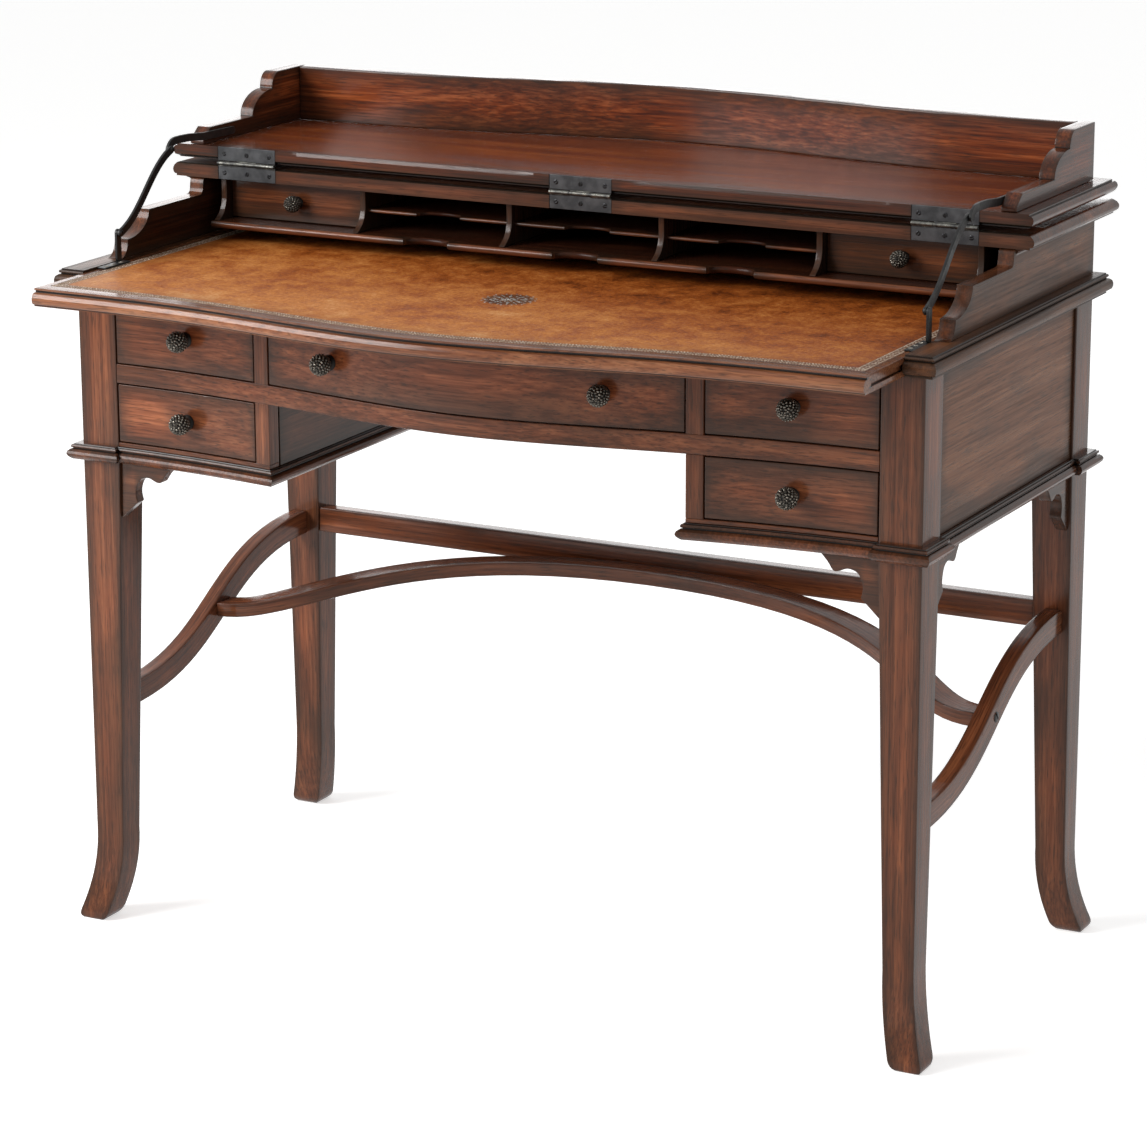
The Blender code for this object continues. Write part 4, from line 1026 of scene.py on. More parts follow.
class Repeats:
    """A node tree that sets one shape on many points; each kind of it says on which ones."""

    sizes: tuple[str, ...] = ("Size",)

    def __init__(self, name: str) -> None:
        """Builds the tree with inputs for the source, the shape, its sizes and its finish.

        Args:
            name: name of the tree.
        """
        self.tree = tree = bpy.data.node_groups.new(name, "GeometryNodeTree")
        self.sockets: dict[str, str] = {}
        kinds = {"Source": "Geometry", "Shape": "Object", **dict.fromkeys(self.sizes, "Float")}
        for label, kind in {**kinds, "Finish": "Material"}.items():
            socket = tree.interface.new_socket(label, in_out="INPUT", socket_type="NodeSocket" + kind)
            self.sockets[label] = socket.identifier
        tree.interface.new_socket("Mesh", in_out="OUTPUT", socket_type="NodeSocketGeometry")
        given = add_node(tree, "NodeGroupInput", 0).node.outputs
        points, turn = self.points(given)
        shape = add_node(tree, "GeometryNodeObjectInfo", "Geometry", {"Object": given["Shape"]})
        values = {"Points": points, "Instance": shape, "Rotation": turn, "Scale": given["Size"]}
        stamped = add_node(tree, "GeometryNodeInstanceOnPoints", "Instances", values)
        real = add_node(tree, "GeometryNodeRealizeInstances", "Geometry", {"Geometry": stamped})
        values = {"Geometry": real, "Material": given["Finish"]}
        dressed = add_node(tree, "GeometryNodeSetMaterial", "Geometry", values)
        feed(tree, tree.nodes.new("NodeGroupOutput"), {"Mesh": dressed})

    def points(self, given: bpy.types.NodeOutputs) -> tuple[Socket, Socket]:
        """Adds the nodes that give the points and the turn of the shape on each."""
        raise NotImplementedError

    def stamped(self, source: Mesh, shape: Mesh, finish: Finish, **sizes: float) -> Mesh:
        """Runs the tree on a source mesh and bakes the result.

        Args:
            source: the mesh that the points come from.
            shape: the mesh to repeat.
            finish: finish of the copies.
            sizes: a value for each size input.

        Returns:
            One plain mesh of all the copies.
        """
        holder = bpy.data.objects.new("repeat_holder", source)
        stamp = bpy.data.objects.new("repeat_stamp", shape)
        modifier = holder.modifiers.new("repeats", "NODES")
        modifier.node_group = self.tree
        for label, value in {"Shape": stamp, "Finish": finish.material(), **sizes}.items():
            modifier[self.sockets[label]] = value
        return rounded(baked(holder, layers=False, helpers=[stamp]))


class StampedPoints(Repeats):
    """Sets a shape on every point of a mesh, turned to the point's aim and spun about it."""

    def points(self, given: bpy.types.NodeOutputs) -> tuple[Socket, Socket]:
        """Reads the points' aim and spin.

        Args:
            given: outputs of the tree's input node.

        Returns:
            Sockets of the points and of the turns.
        """
        add = functools.partial(add_node, self.tree)
        aim, spin = (
            add("GeometryNodeInputNamedAttribute", "Attribute", {"Name": name}, data_type=kind)
            for name, kind in (("aim", "FLOAT_VECTOR"), ("spin", "FLOAT"))
        )
        upright = add("FunctionNodeAlignRotationToVector", "Rotation", {"Vector": aim}, axis="Z")
        about = add("FunctionNodeAxisAngleToRotation", "Rotation", {"Axis": (0, 0, 1), "Angle": spin})
        values = {"Rotation": upright, "Rotate By": about}
        turn = add("FunctionNodeRotateRotation", "Rotation", values, rotation_space="LOCAL")
        return add("GeometryNodeMeshToPoints", "Points", {"Mesh": given["Source"]}), turn

    def mesh(self, spots: Sequence[Spot], shape: Mesh, size: float, finish: Finish) -> Mesh:
        """Sets the shape on spots.

        Args:
            spots: place in desk coordinates, outward aim and spin about it, for each copy.
            shape: the mesh to repeat, its Z along the aim.
            size: scale of each copy.
            finish: finish of the copies.

        Returns:
            One plain mesh of all the copies, in the frame's place.
        """
        cloud = bpy.data.meshes.new("stamped_points")
        cloud.from_pydata([tuple(spot + Vector(SHIFT)) for spot, _, _ in spots], [], [])
        aims = cloud.attributes.new("aim", "FLOAT_VECTOR", "POINT")
        aims.data.foreach_set("vector", [value for _, aim, _ in spots for value in aim])
        spins = cloud.attributes.new("spin", "FLOAT", "POINT")
        spins.data.foreach_set("value", [spin for _, _, spin in spots])
        return self.stamped(cloud, shape, finish, Size=size)


class StampedPath(Repeats):
    """Rolls a shape along a closed path at an even spacing, its X along the path."""

    sizes = ("Size", "Spacing")

    def points(self, given: bpy.types.NodeOutputs) -> tuple[Socket, Socket]:
        """Spaces points evenly along the path.

        Args:
            given: outputs of the tree's input node.

        Returns:
            Sockets of the points and of the turns.
        """
        add = functools.partial(add_node, self.tree)
        path = add("GeometryNodeMeshToCurve", "Curve", {"Mesh": given["Source"]})
        values = {"Curve": path, "Length": given["Spacing"]}
        even = add("GeometryNodeResampleCurve", "Curve", values, mode="LENGTH")
        values = {"Vector": add("GeometryNodeInputTangent", "Tangent")}
        turn = add("FunctionNodeAlignRotationToVector", "Rotation", values, axis="X", pivot_axis="Z")
        return even, turn

    def mesh(
        self, ring: Ring, height: float, shape: Mesh, size: float, spacing: float, finish: Finish
    ) -> Mesh:
        """Rolls the shape along a level ring.

        Args:
            ring: corners of the path in plan, in desk coordinates.
            height: height of the path.
            shape: the mesh to repeat, its Z upwards.
            size: scale of each copy.
            spacing: distance from copy to copy.
            finish: finish of the copies.

        Returns:
            One plain mesh of all the copies, in the frame's place.
        """
        apart = spacing / 10
        corners = [point for here, point in enumerate(ring) if (point - ring[here - 1]).length > apart]
        steps = [(here, (here + 1) % len(corners)) for here in range(len(corners))]
        path = bpy.data.meshes.new("path")
        path.from_pydata([(point.x, point.y + FACE_Y, height) for point in corners], steps, [])
        return self.stamped(path, shape, finish, Size=size, Spacing=spacing)


STAMPED = StampedPoints("stamped_points")
ROLLED = StampedPath("rolled_path")


def mesh_of(name: str, shape: Shape) -> Mesh:
    """Turns a shape into a mesh.

    Args:
        name: name of the mesh.
        shape: the shape, which is used up.

    Returns:
        The mesh.
    """
    mesh = bpy.data.meshes.new(name)
    shape.to_mesh(mesh)
    shape.free()
    return mesh


def turned(name: str, rings: Sequence[Point], sides: int) -> Mesh:
    """A turned shape about Z, closed at both ends.

    Args:
        name: name of the mesh.
        rings: radius and height of each ring.
        sides: number of sides.

    Returns:
        The mesh.
    """
    circles = []
    for radius, height in rings:
        turns = spread(0, math.tau, sides)[:-1]
        circles.append([(radius * math.cos(turn), radius * math.sin(turn), height) for turn in turns])
    shape = loft(circles)
    bmesh.ops.recalc_face_normals(shape, faces=shape.faces)
    return rounded(mesh_of(name, shape))


def merged(name: str, meshes: Sequence[Mesh]) -> Mesh:
    """One mesh of several, each keeping its material.

    Args:
        name: name of the mesh.
        meshes: the meshes.

    Returns:
        The one mesh.
    """
    shape = bmesh.new()
    finishes: list[Material] = []
    for mesh in meshes:
        before = len(shape.faces)
        shape.from_mesh(mesh)
        shape.faces.ensure_lookup_table()
        for face in shape.faces[before:]:
            finish = mesh.materials[face.material_index]
            if finish not in finishes:
                finishes.append(finish)
            face.material_index = finishes.index(finish)
    made = mesh_of(name, shape)
    for finish in finishes:
        made.materials.append(finish)
    made.set_sharp_from_angle(angle=SMOOTH_ANGLE)
    return made


def screw_head(name: str, radius: float, rise: float) -> Mesh:
    """A slotted screw head with a low dome, its slot a sunk channel across the middle.

    Args:
        name: name of the mesh.
        radius: radius of the head.
        rise: height of its dome.

    Returns:
        The mesh, its Z along the screw.
    """
    slot, rim = radius * 0.16, rise * 0.3
    rings = [(radius, -rise), (radius, 0), (radius * 0.86, rise * 0.7), (radius * 0.5, rise)]
    shape = bmesh.new()
    shape.from_mesh(turned(name + "_dome", rings, 20))
    top = [face for face in shape.faces if face.calc_center_median().z > rim]
    for edge in (-slot, slot):
        geom = {item for face in top if face.is_valid for item in (face, *face.edges, *face.verts)}
        bmesh.ops.bisect_plane(shape, geom=list(geom), plane_co=(0, edge, 0), plane_no=(0, 1, 0))
        top = [face for face in shape.faces if face.calc_center_median().z > rim]
    channel = [face for face in top if abs(face.calc_center_median().y) < slot * 0.9]
    raised = bmesh.ops.extrude_face_region(shape, geom=channel)
    sunk = [item for item in raised["geom"] if isinstance(item, bmesh.types.BMVert)]
    bmesh.ops.delete(shape, geom=[face for face in channel if face.is_valid], context="FACES_ONLY")
    bmesh.ops.translate(shape, verts=sunk, vec=(0, 0, -rise * 0.9))
    bmesh.ops.recalc_face_normals(shape, faces=shape.faces)
    return mesh_of(name, shape)


def leaf_blade(name: str, length: float, width: float, rise: float) -> Mesh:
    """A pointed leaf along X with a low ridge down its middle, as a tool presses it.

    Args:
        name: name of the mesh.
        length: length of the leaf.
        width: its width.
        rise: height of its ridge.

    Returns:
        The mesh.
    """
    rim = [
        (length * (along - 0.5), side * width / 2 * math.sin(math.pi * along) ** 0.8, 0.0)
        for side, places in ((1, spread(0, 1, 5)), (-1, spread(1, 0, 5)[1:-1])) for along in places
    ]
    shape = loft([rim, [(x * 0.55, y * 0.3, rise) for x, y, _ in rim]])
    bmesh.ops.recalc_face_normals(shape, faces=shape.faces)
    return mesh_of(name, shape)


# Sub-assemblies


@dataclass
class Legs:
    """Four square legs, tapered inside below the waist, with feet turned out."""

    ankle: float = 0.036
    sole: float = 0.038
    ankle_z: float = 0.105
    taper_z: float = 0.2
    flare: float = 0.0195
    toe: float = 0.011
    toe_share: float = 0.6
    ease: float = 0.0016

    def width(self, height: float) -> float:
        """Width of a leg.

        Args:
            height: a height above the floor.

        Returns:
            The width there.
        """
        if height >= WAIST_Z:
            return LEG
        if height >= self.ankle_z:
            share = (height - self.ankle_z) / (WAIST_Z - self.ankle_z)
            return self.ankle + (LEG - self.ankle) * share
        return self.sole + (self.ankle - self.sole) * height / self.ankle_z

    def stock(self, side: Side, rear: bool) -> Stock:
        """One leg, its grain upright.

        Args:
            side: its end of the desk.
            rear: whether it is a rear leg.

        Returns:
            The worked leg.
        """
        top = node_box("leg_front_left")[1].z
        rounding = [self.toe * (1 - math.cos(turn)) for turn in spread(0, math.pi / 2, 5)[:-1]]
        foot = [*rounding, *spread(self.toe, self.ankle_z, 11)]
        rings = []
        for height in [*foot, *spread(self.taper_z, WAIST_Z, 3), top]:
            short = max(0.0, 1 - height / self.toe)
            ease = self.toe_share * self.toe * (1 - math.sqrt(1 - short * short))
            out = self.flare * max(0.0, 1 - height / self.ankle_z) ** 2
            outer = HALF + out - ease
            inner = HALF + out - self.width(height) + ease
            face, hidden = ease - out, self.width(height) - out - ease
            if rear:
                face, hidden = DEPTH - face, DEPTH - hidden
            corners = ((inner, face), (outer, face), (outer, hidden), (inner, hidden))
            rings.append([(side.value * x, y, height) for x, y in corners])
        return worked(loft(rings), Grain.UPRIGHT, self.ease)

    def dress(self) -> None:
        """Places the four legs."""
        for side in Side:
            for end in ("front", "rear"):
                fit(f"leg_{end}_{side.label}", [self.stock(side, end == "rear")], MAHOGANY)


@dataclass
class Case:
    """Side panels, back, cheeks and the bowed face frame round the drawers."""

    frame_thick: float = 0.02
    pedestal_x: float = 0.2547
    stile_x: float = 0.2739
    case_z: float = 0.57
    lower_z: float = 0.5749
    mid_z: float = 0.6439
    upper_z: float = 0.6654
    upper_top: float = 0.741
    top_z: float = 0.7487

    def rail(self, span: Point, low: float, high: float) -> Stock:
        """A rail or stile of the face frame.

        Args:
            span: its left and right.
            low, high: heights of its underside and top.

        Returns:
            The worked piece, its grain along it.
        """
        upright = high - low > span[1] - span[0]
        shape = bowed(
            span, lambda x: -CASE_BOW.at(x), lambda x: self.frame_thick - CASE_BOW.at(x), (low, high)
        )
        return worked(shape, Grain.UPRIGHT if upright else Grain.ACROSS, FINE_EASE)

    def face_frame(self) -> list[Stock]:
        """Rails and stiles of the bowed front, butted against each other.

        Returns:
            The worked pieces.
        """
        end = LEG_IN_X - GAP
        heights = ((self.upper_top, self.top_z), (self.mid_z, self.upper_z))
        stocks = [self.rail((-end, end), low, high) for low, high in heights]
        for side in Side:
            stocks.append(self.rail(side.span(self.pedestal_x, end), self.case_z + GAP, self.lower_z))
            for low, high in ((self.lower_z, self.mid_z), (self.upper_z, self.upper_top)):
                stocks.append(self.rail(side.span(self.pedestal_x, self.stile_x), low, high))
        return stocks

    def back(self) -> list[Stock]:
        """The back panel round the kneehole, and the rail on it that closes the slide's slot.

        Returns:
            The worked pieces.
        """
        low, high = node_box("back_panel")
        above = node_box("upper_back")
        knee = self.pedestal_x
        outline = [
            (low.x, low.z), (-knee, low.z), (-knee, self.mid_z), (knee, self.mid_z), (knee, low.z),
            (high.x, low.z), (high.x, high.z), (low.x, high.z),
        ]
        rail = block((above[0].x, low.y, high.z + GAP), (above[1].x, high.y, above[0].z - GAP))
        return [
            worked(shape, Grain.ACROSS, FINE_EASE) for shape in (sawn(outline, None, low.y, high.y), rail)
        ]

    def dress(self) -> None:
        """Places the case's panels and its face frame."""
        fit("face_frame", self.face_frame(), WIPED_MAHOGANY)
        fit("back_panel", self.back(), MAHOGANY)
        for side in Side:
            # The kneehole's cheeks take heavy glaze together with painted shade
            for part, finish in (("side_panel", PANEL_MAHOGANY), ("kneehole_cheek", GLAZE_AND_SHADE_MAHOGANY)):
                node = f"{part}_{side.label}"
                fit(node, [worked(block(*node_box(node)), Grain.DEEP, FINE_EASE)], finish)
        for node in ("dust_board", "slide_bed"):
            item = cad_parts[node]
            item.data.materials.clear()
            item.data.materials.append(LINING.material())


@dataclass
class Pedestals:
    """Moulded base boards stepped out round the legs, with scrolled brackets under them.

    The profile of a board is a bullnose, a quirk and a fillet. The scroll of a bracket is given in
    shares of its reach and drop.
    """

    out: float = 0.008
    step: float = 0.006
    reach: float = 0.068
    drop: float = 0.066
    inset: float = 0.004
    thick: float = 0.014
    inner_x: float = 0.2547
    profile: tuple[Point, ...] = (
        (0.0, -0.0052), (0.0016, -0.0032), (0.004, -0.001), (0.0068, 0.0), (0.0096, -0.001),
        (0.0116, -0.0034), (0.012, -0.0058), (0.013, -0.006), (0.0134, -0.0046), (0.015, -0.004),
        (0.0166, -0.0046), (0.017, -0.0066), (0.018, -0.007),
    )
    scroll: tuple[Point, ...] = (
        (0.86, 0.16), (0.77, 0.29), (0.68, 0.3), (0.52, 0.24), (0.35, 0.3), (0.27, 0.5), (0.3, 0.69)
    )

    def plan(self) -> list[Point]:
        """Plan of the right base board.

        Returns:
            Its corners, anticlockwise.
        """
        step = self.out + self.step
        leg_x, leg_y = LEG_IN_X - self.step, LEG + self.step
        inner = self.inner_x - self.out
        plan = [(x, -CASE_BOW.at(x) - self.out) for x in CASE_BOW.stations(inner, leg_x)]
        return plan + [
            (leg_x, -step), (HALF + step, -step), (HALF + step, leg_y), (HALF + self.out, leg_y),
            (HALF + self.out, DEPTH - LEG - self.step), (HALF + step, DEPTH - LEG - self.step),
            (HALF + step, DEPTH + step), (leg_x, DEPTH + step), (leg_x, DEPTH + self.out),
            (inner, DEPTH + self.out),
        ]

    def board(self, side: Side) -> Stock:
        """A base board, moulded all round.

        Args:
            side: its end of the desk.

        Returns:
            The worked board.
        """
        plan = self.plan()
        rows = [(WAIST_Z + rise, {Edge.NOSE: out}) for rise, out in self.profile]
        shape = loft(edge_rings(plan, [Edge.NOSE] * len(plan), rows))
        bmesh.ops.scale(shape, vec=(side.value, 1, 1), verts=shape.verts)
        return worked(shape, Grain.DEEP, 0.0)

    def brackets(self, side: Side) -> list[Stock]:
        """The front bracket and the two side brackets of one pedestal.

        Args:
            side: the pedestal's end of the desk.

        Returns:
            The worked brackets.
        """
        scroll = [(self.reach * away, self.drop * drop) for away, drop in self.scroll]
        taper = LEG - Legs().width(WAIST_Z - self.drop)
        outline = [(GAP, 0.0), *smooth([(self.reach, GAP), *scroll], 4), (GAP - taper, self.drop)]
        across = [(side.value * (LEG_IN_X - away), WAIST_Z - drop) for away, drop in outline]
        stocks = [worked(sawn(across, None, self.inset, self.inset + self.thick), Grain.ACROSS, SHOW_EASE)]
        outer = HALF - self.inset
        for start, way in ((LEG, 1), (DEPTH - LEG, -1)):
            along = [(start + way * away, WAIST_Z - drop) for away, drop in outline]
            stocks.append(worked(sawn(along, side, outer - self.thick, outer), Grain.DEEP, SHOW_EASE))
        return stocks

    def dress(self) -> None:
        """Places both bases."""
        for side in Side:
            fit(f"pedestal_base_{side.label}", [self.board(side), *self.brackets(side)], MAHOGANY)


@dataclass
class Stretchers:
    """Ogee side stretchers, a straight rear one and the bowed one that meets it."""

    thick: float = 0.02
    inset: float = 0.008
    tall: float = 0.0285
    front_z: float = 0.263
    rear_z: float = 0.3795
    bow_deep: float = 0.035
    bow_tall: float = 0.0165
    bow_end: Point = (0.224, 0.3275)
    bow_middle: Point = (0.4034, 0.3823)
    end_pull: float = 0.227
    mid_pull: float = 0.709
    ease: float = 0.002
    bolt_radius: float = 0.0062
    bolt_rise: float = 0.0016
    bolt_spin: float = 0.6

    def side_piece(self, side: Side) -> Stock:
        """A side stretcher, rising in an ogee from the front leg to the rear one.

        Args:
            side: its end of the desk.

        Returns:
            The worked stretcher.
        """
        low, high = self.front_z, self.rear_z
        width = Legs().width
        first, last = width(low) + GAP, DEPTH - width(high) - GAP
        middle = (first + last) / 2
        line = bezier(((first, low), (middle, low), (middle, high), (last, high)), 28)
        edges = []
        for lift in (self.tall / 2, -self.tall / 2):
            edge = [Vector((width(low + lift) + GAP, low + lift))]
            for before, point, after in zip(line, line[1:], line[2:]):
                along = (after - before).normalized()
                edge.append(point + Vector((-along.y, along.x)) * lift)
            edges.append([*edge, Vector((DEPTH - width(high + lift) - GAP, high + lift))])
        outer = HALF - self.inset
        shape = sawn(edges[0] + edges[1][::-1], side, outer - self.thick, outer)
        middle_x = side.value * (outer - self.thick / 2)
        return bent_grain(
            worked(shape, Grain.DEEP, self.ease), [(middle_x, *point) for point in line], (1, 0, 0)
        )

    def bow_piece(self) -> Stock:
        """The bowed stretcher, swept back and up to the middle of the rear one.

        Returns:
            The worked stretcher.
        """
        start = Vector((HALF - self.inset - self.thick - GAP, *self.bow_end))
        end = Vector((0, *self.bow_middle))
        leave = start - Vector((self.end_pull * HALF, 0, 0))
        arrive = end + Vector((self.mid_pull * HALF, 0, 0))
        line = bezier((start, leave, arrive, end), 24)
        line += [Vector((-point.x, point.y, point.z)) for point in reversed(line[:-1])]
        rings = []
        down = Vector((0, 0, self.bow_tall))
        for here, point in enumerate(line):
            along = tangent(line, here)
            back = Vector((along.y, -along.x, 0)).normalized() * self.bow_deep
            if here in (0, len(line) - 1):
                back = Vector((0, self.bow_deep, 0))
            rings.append([point, point + back, point + back - down, point - down])
        return bent_grain(worked(loft(rings), Grain.ACROSS, self.ease), line, (0, 0, 1))

    def dress(self) -> None:
        """Places the stretchers and the bolts through the side ones."""
        for side in Side:
            fit(f"side_stretcher_{side.label}", [self.side_piece(side)], WIPED_MAHOGANY)
        rear = worked(block(*node_box("rear_stretcher")), Grain.ACROSS, self.ease)
        fit("rear_stretcher", [rear], WIPED_MAHOGANY)
        fit("bow_stretcher", [self.bow_piece()], WIPED_MAHOGANY)
        spots = []
        for side in Side:
            spot = Vector((side.value * (HALF - self.inset), DEPTH / 2, (self.front_z + self.rear_z) / 2))
            spots.append((spot, Vector((side.value, 0, 0)), self.bolt_spin))
        head = screw_head("bolt_head", self.bolt_radius, self.bolt_rise)
        place("stretcher_bolts", STAMPED.mesh(spots, head, 1.0, IRON), Slot.IRON, "frame")


@dataclass
class Knob:
    """A beaded bronze knob on a short neck and a turned rose."""

    radius: float = 0.0108
    middle: float = 0.0152
    ball_turns: Point = (-52, 88)
    bead: float = 0.0016
    beads: int = 116
    bead_low: float = -0.72
    rings: tuple[Point, ...] = (
        (0.003, 0.0), (0.0086, 0.0), (0.0088, 0.0012), (0.008, 0.0024), (0.0062, 0.0032),
        (0.005, 0.0044), (0.0052, 0.0056),
    )
    bead_rings: tuple[Point, ...] = ((0.35, -0.9), (0.95, -0.3), (0.95, 0.3), (0.35, 0.95))

    def bead_places(self) -> Ring:
        """Evenly spread directions on the ball, from its neck to its crown.

        Returns:
            The directions.
        """
        golden = math.pi * (3 - math.sqrt(5))
        places = []
        for here in range(self.beads):
            height = self.bead_low + (1 - self.bead_low) * (here + 0.5) / self.beads
            ring = math.sqrt(1 - height * height)
            places.append(Vector((ring * math.cos(golden * here), ring * math.sin(golden * here), height)))
        return places

    def mesh(self, name: str, spots: Sequence[tuple[Vector, float]], size: float = 1.0) -> Mesh:
        """Knobs at several places of one drawer.

        Args:
            name: name of the mesh.
            spots: foot of each knob and the turn of its front about the vertical.
            size: scale of the knob.

        Returns:
            One mesh of the knobs with their beads.
        """
        first, last = (math.radians(turn) for turn in self.ball_turns)
        ball = [
            (self.radius * math.cos(turn), self.middle + self.radius * math.sin(turn))
            for turn in spread(first, last, 9)
        ]
        bare = turned("knob_turning", [*self.rings, *ball], 28)
        seed = turned("bead", self.bead_rings, 8)
        roots, beads = [], []
        for foot, turn in spots:
            roots.append((foot, Vector((math.sin(turn), -math.cos(turn), 0)), 0.0))
            frame_turn = Matrix.Rotation(turn, 3, "Z") @ Matrix.Rotation(math.radians(90), 3, "X")
            for spot in self.bead_places():
                local = spot * self.radius + Vector((0, 0, self.middle))
                beads.append((foot + frame_turn @ local * size, frame_turn @ spot, 0.0))
        beaded = STAMPED.mesh(beads, seed, self.bead * size, BEAD_BRONZE)
        return merged(name, [STAMPED.mesh(roots, bare, size, BRONZE), beaded])


@dataclass
class Drawers:
    """Frieze drawers behind the bowed front, each a bowed front on a plain lined box."""

    seam: float = 0.0015
    set_back: float = 0.0004
    front_thick: float = 0.02
    box_seam: float = 0.0006
    box_drop: float = 0.004
    wall: float = 0.01
    floor: float = 0.006
    back_y: float = 0.428
    pedestal_knob_x: float = 0.37
    centre_knob_x: float = 0.1656
    case: Case = field(default_factory=Case)
    knob: Knob = field(default_factory=Knob)

    def front(self, span: Point, rise: Point) -> Stock:
        """The drawer's bowed front, a seam smaller than its opening all round.

        Args:
            span, rise: left and right, and bottom and top, of its opening.

        Returns:
            The worked front.
        """
        shape = bowed(
            (span[0] + self.seam, span[1] - self.seam), lambda x: -CASE_BOW.at(x) + self.set_back,
            lambda x: self.front_thick - CASE_BOW.at(x), (rise[0] + self.seam, rise[1] - self.seam),
        )
        return worked(shape, Grain.ACROSS, SHOW_EASE)

    def box(self, span: Point, rise: Point) -> list[Stock]:
        """Sides, back and bottom of the drawer.

        Args:
            span, rise: left and right, and bottom and top, of its opening.

        Returns:
            The worked pieces.
        """
        (left, right), seam, wall, rear = span, self.box_seam, self.wall, self.back_y
        behind = self.front_thick - self.set_back
        low, edge = rise[0] + seam, rise[1] - seam - self.box_drop
        stocks = []
        for ends in ((left + seam, left + wall), (right - wall, right - seam)):
            shape = bowed(ends, lambda x: behind - CASE_BOW.at(x), lambda x: rear, (low, edge))
            stocks.append(worked(shape, Grain.DEEP, FINE_EASE, HIDDEN_CELL))
        back = block((left + wall, rear - wall, low), (right - wall, rear, edge))
        stocks.append(worked(back, Grain.ACROSS, FINE_EASE, HIDDEN_CELL))
        bottom = bowed(
            (left + wall, right - wall), lambda x: behind - CASE_BOW.at(x), lambda x: rear - wall,
            (low, low + self.floor),
        )
        return [*stocks, worked(bottom, Grain.DEEP, 0.0, HIDDEN_CELL)]

    def place_drawer(self, node: str, body: str, span: Point, rise: Point, knobs: dict[str, float]) -> None:
        """Places one drawer: its front, its box and its knobs.

        Args:
            node: the drawer's CAD node.
            body: the body that it moves with.
            span, rise: left and right, and bottom and top, of its opening.
            knobs: CAD node and place across for each knob.
        """
        fit(node, [self.front(span, rise)], MAHOGANY, body, tail="_front")
        fit(node, self.box(span, rise), LINING, body, Slot.DARK_MAHOGANY, "_box", stands=False)
        spots = []
        for x in knobs.values():
            foot = Vector((x, -CASE_BOW.at(x) + self.set_back, sum(rise) / 2))
            spots.append((foot, CASE_BOW.turn(x)))
        place(node + "_knobs", self.knob.mesh(node + "_knobs", spots), Slot.BRONZE, body, list(knobs))

    def dress(self) -> None:
        """Places the five frieze drawers."""
        case = self.case
        upper = (case.upper_z, case.upper_top)
        for side in Side:
            span = side.span(case.stile_x, LEG_IN_X)
            for tier, rise in (("lower", (case.lower_z, case.mid_z)), ("upper", upper)):
                knobs = {f"{tier}_knob_{side.label}": side.value * self.pedestal_knob_x}
                node, body = f"{tier}_drawer_{side.label}", f"{tier}_{side.label}_drawer"
                self.place_drawer(node, body, span, rise, knobs)
        knobs = {f"centre_knob_{side.label}": side.value * self.centre_knob_x for side in Side}
        span = (-case.pedestal_x, case.pedestal_x)
        self.place_drawer("centre_drawer", "centre_drawer", span, upper, knobs)


@dataclass
class SideBoards:
    """Fixed boards beside the slide, moulded on their three outer edges."""

    inset: float = 0.018
    profile: tuple[Point, ...] = (
        (0.0, -0.0058), (0.0028, -0.0058), (0.003, -0.0036), (0.0048, -0.001), (0.008, 0.0),
        (0.011, 0.0), (0.0142, -0.001), (0.0162, -0.0036), (0.0168, -0.006), (0.0178, -0.006),
        (0.0182, -0.0046), (0.0196, -0.004), (0.021, -0.0046), (0.0216, -0.0064), (0.0228, -0.0066),
    )

    def stock(self, side: Side) -> Stock:
        """One side board.

        Args:
            side: its end of the desk.

        Returns:
            The worked board.
        """
        low, high = node_box(f"top_side_{side.label}")
        left, right = side.span(HALF - self.inset, max(abs(low.x), abs(high.x)))
        plan = ((left, low.y), (right, low.y), (right, high.y), (left, high.y))
        edges = [Edge.NOSE] * 4
        edges[3 if side is Side.RIGHT else 1] = Edge.FLAT
        rows = [(low.z + rise, {Edge.NOSE: out}) for rise, out in self.profile]
        return worked(loft(edge_rings(plan, edges, rows)), Grain.DEEP, 0.0)

    def dress(self) -> None:
        """Places both side boards."""
        for side in Side:
            fit(f"top_side_{side.label}", [self.stock(side)], PANEL_MAHOGANY)


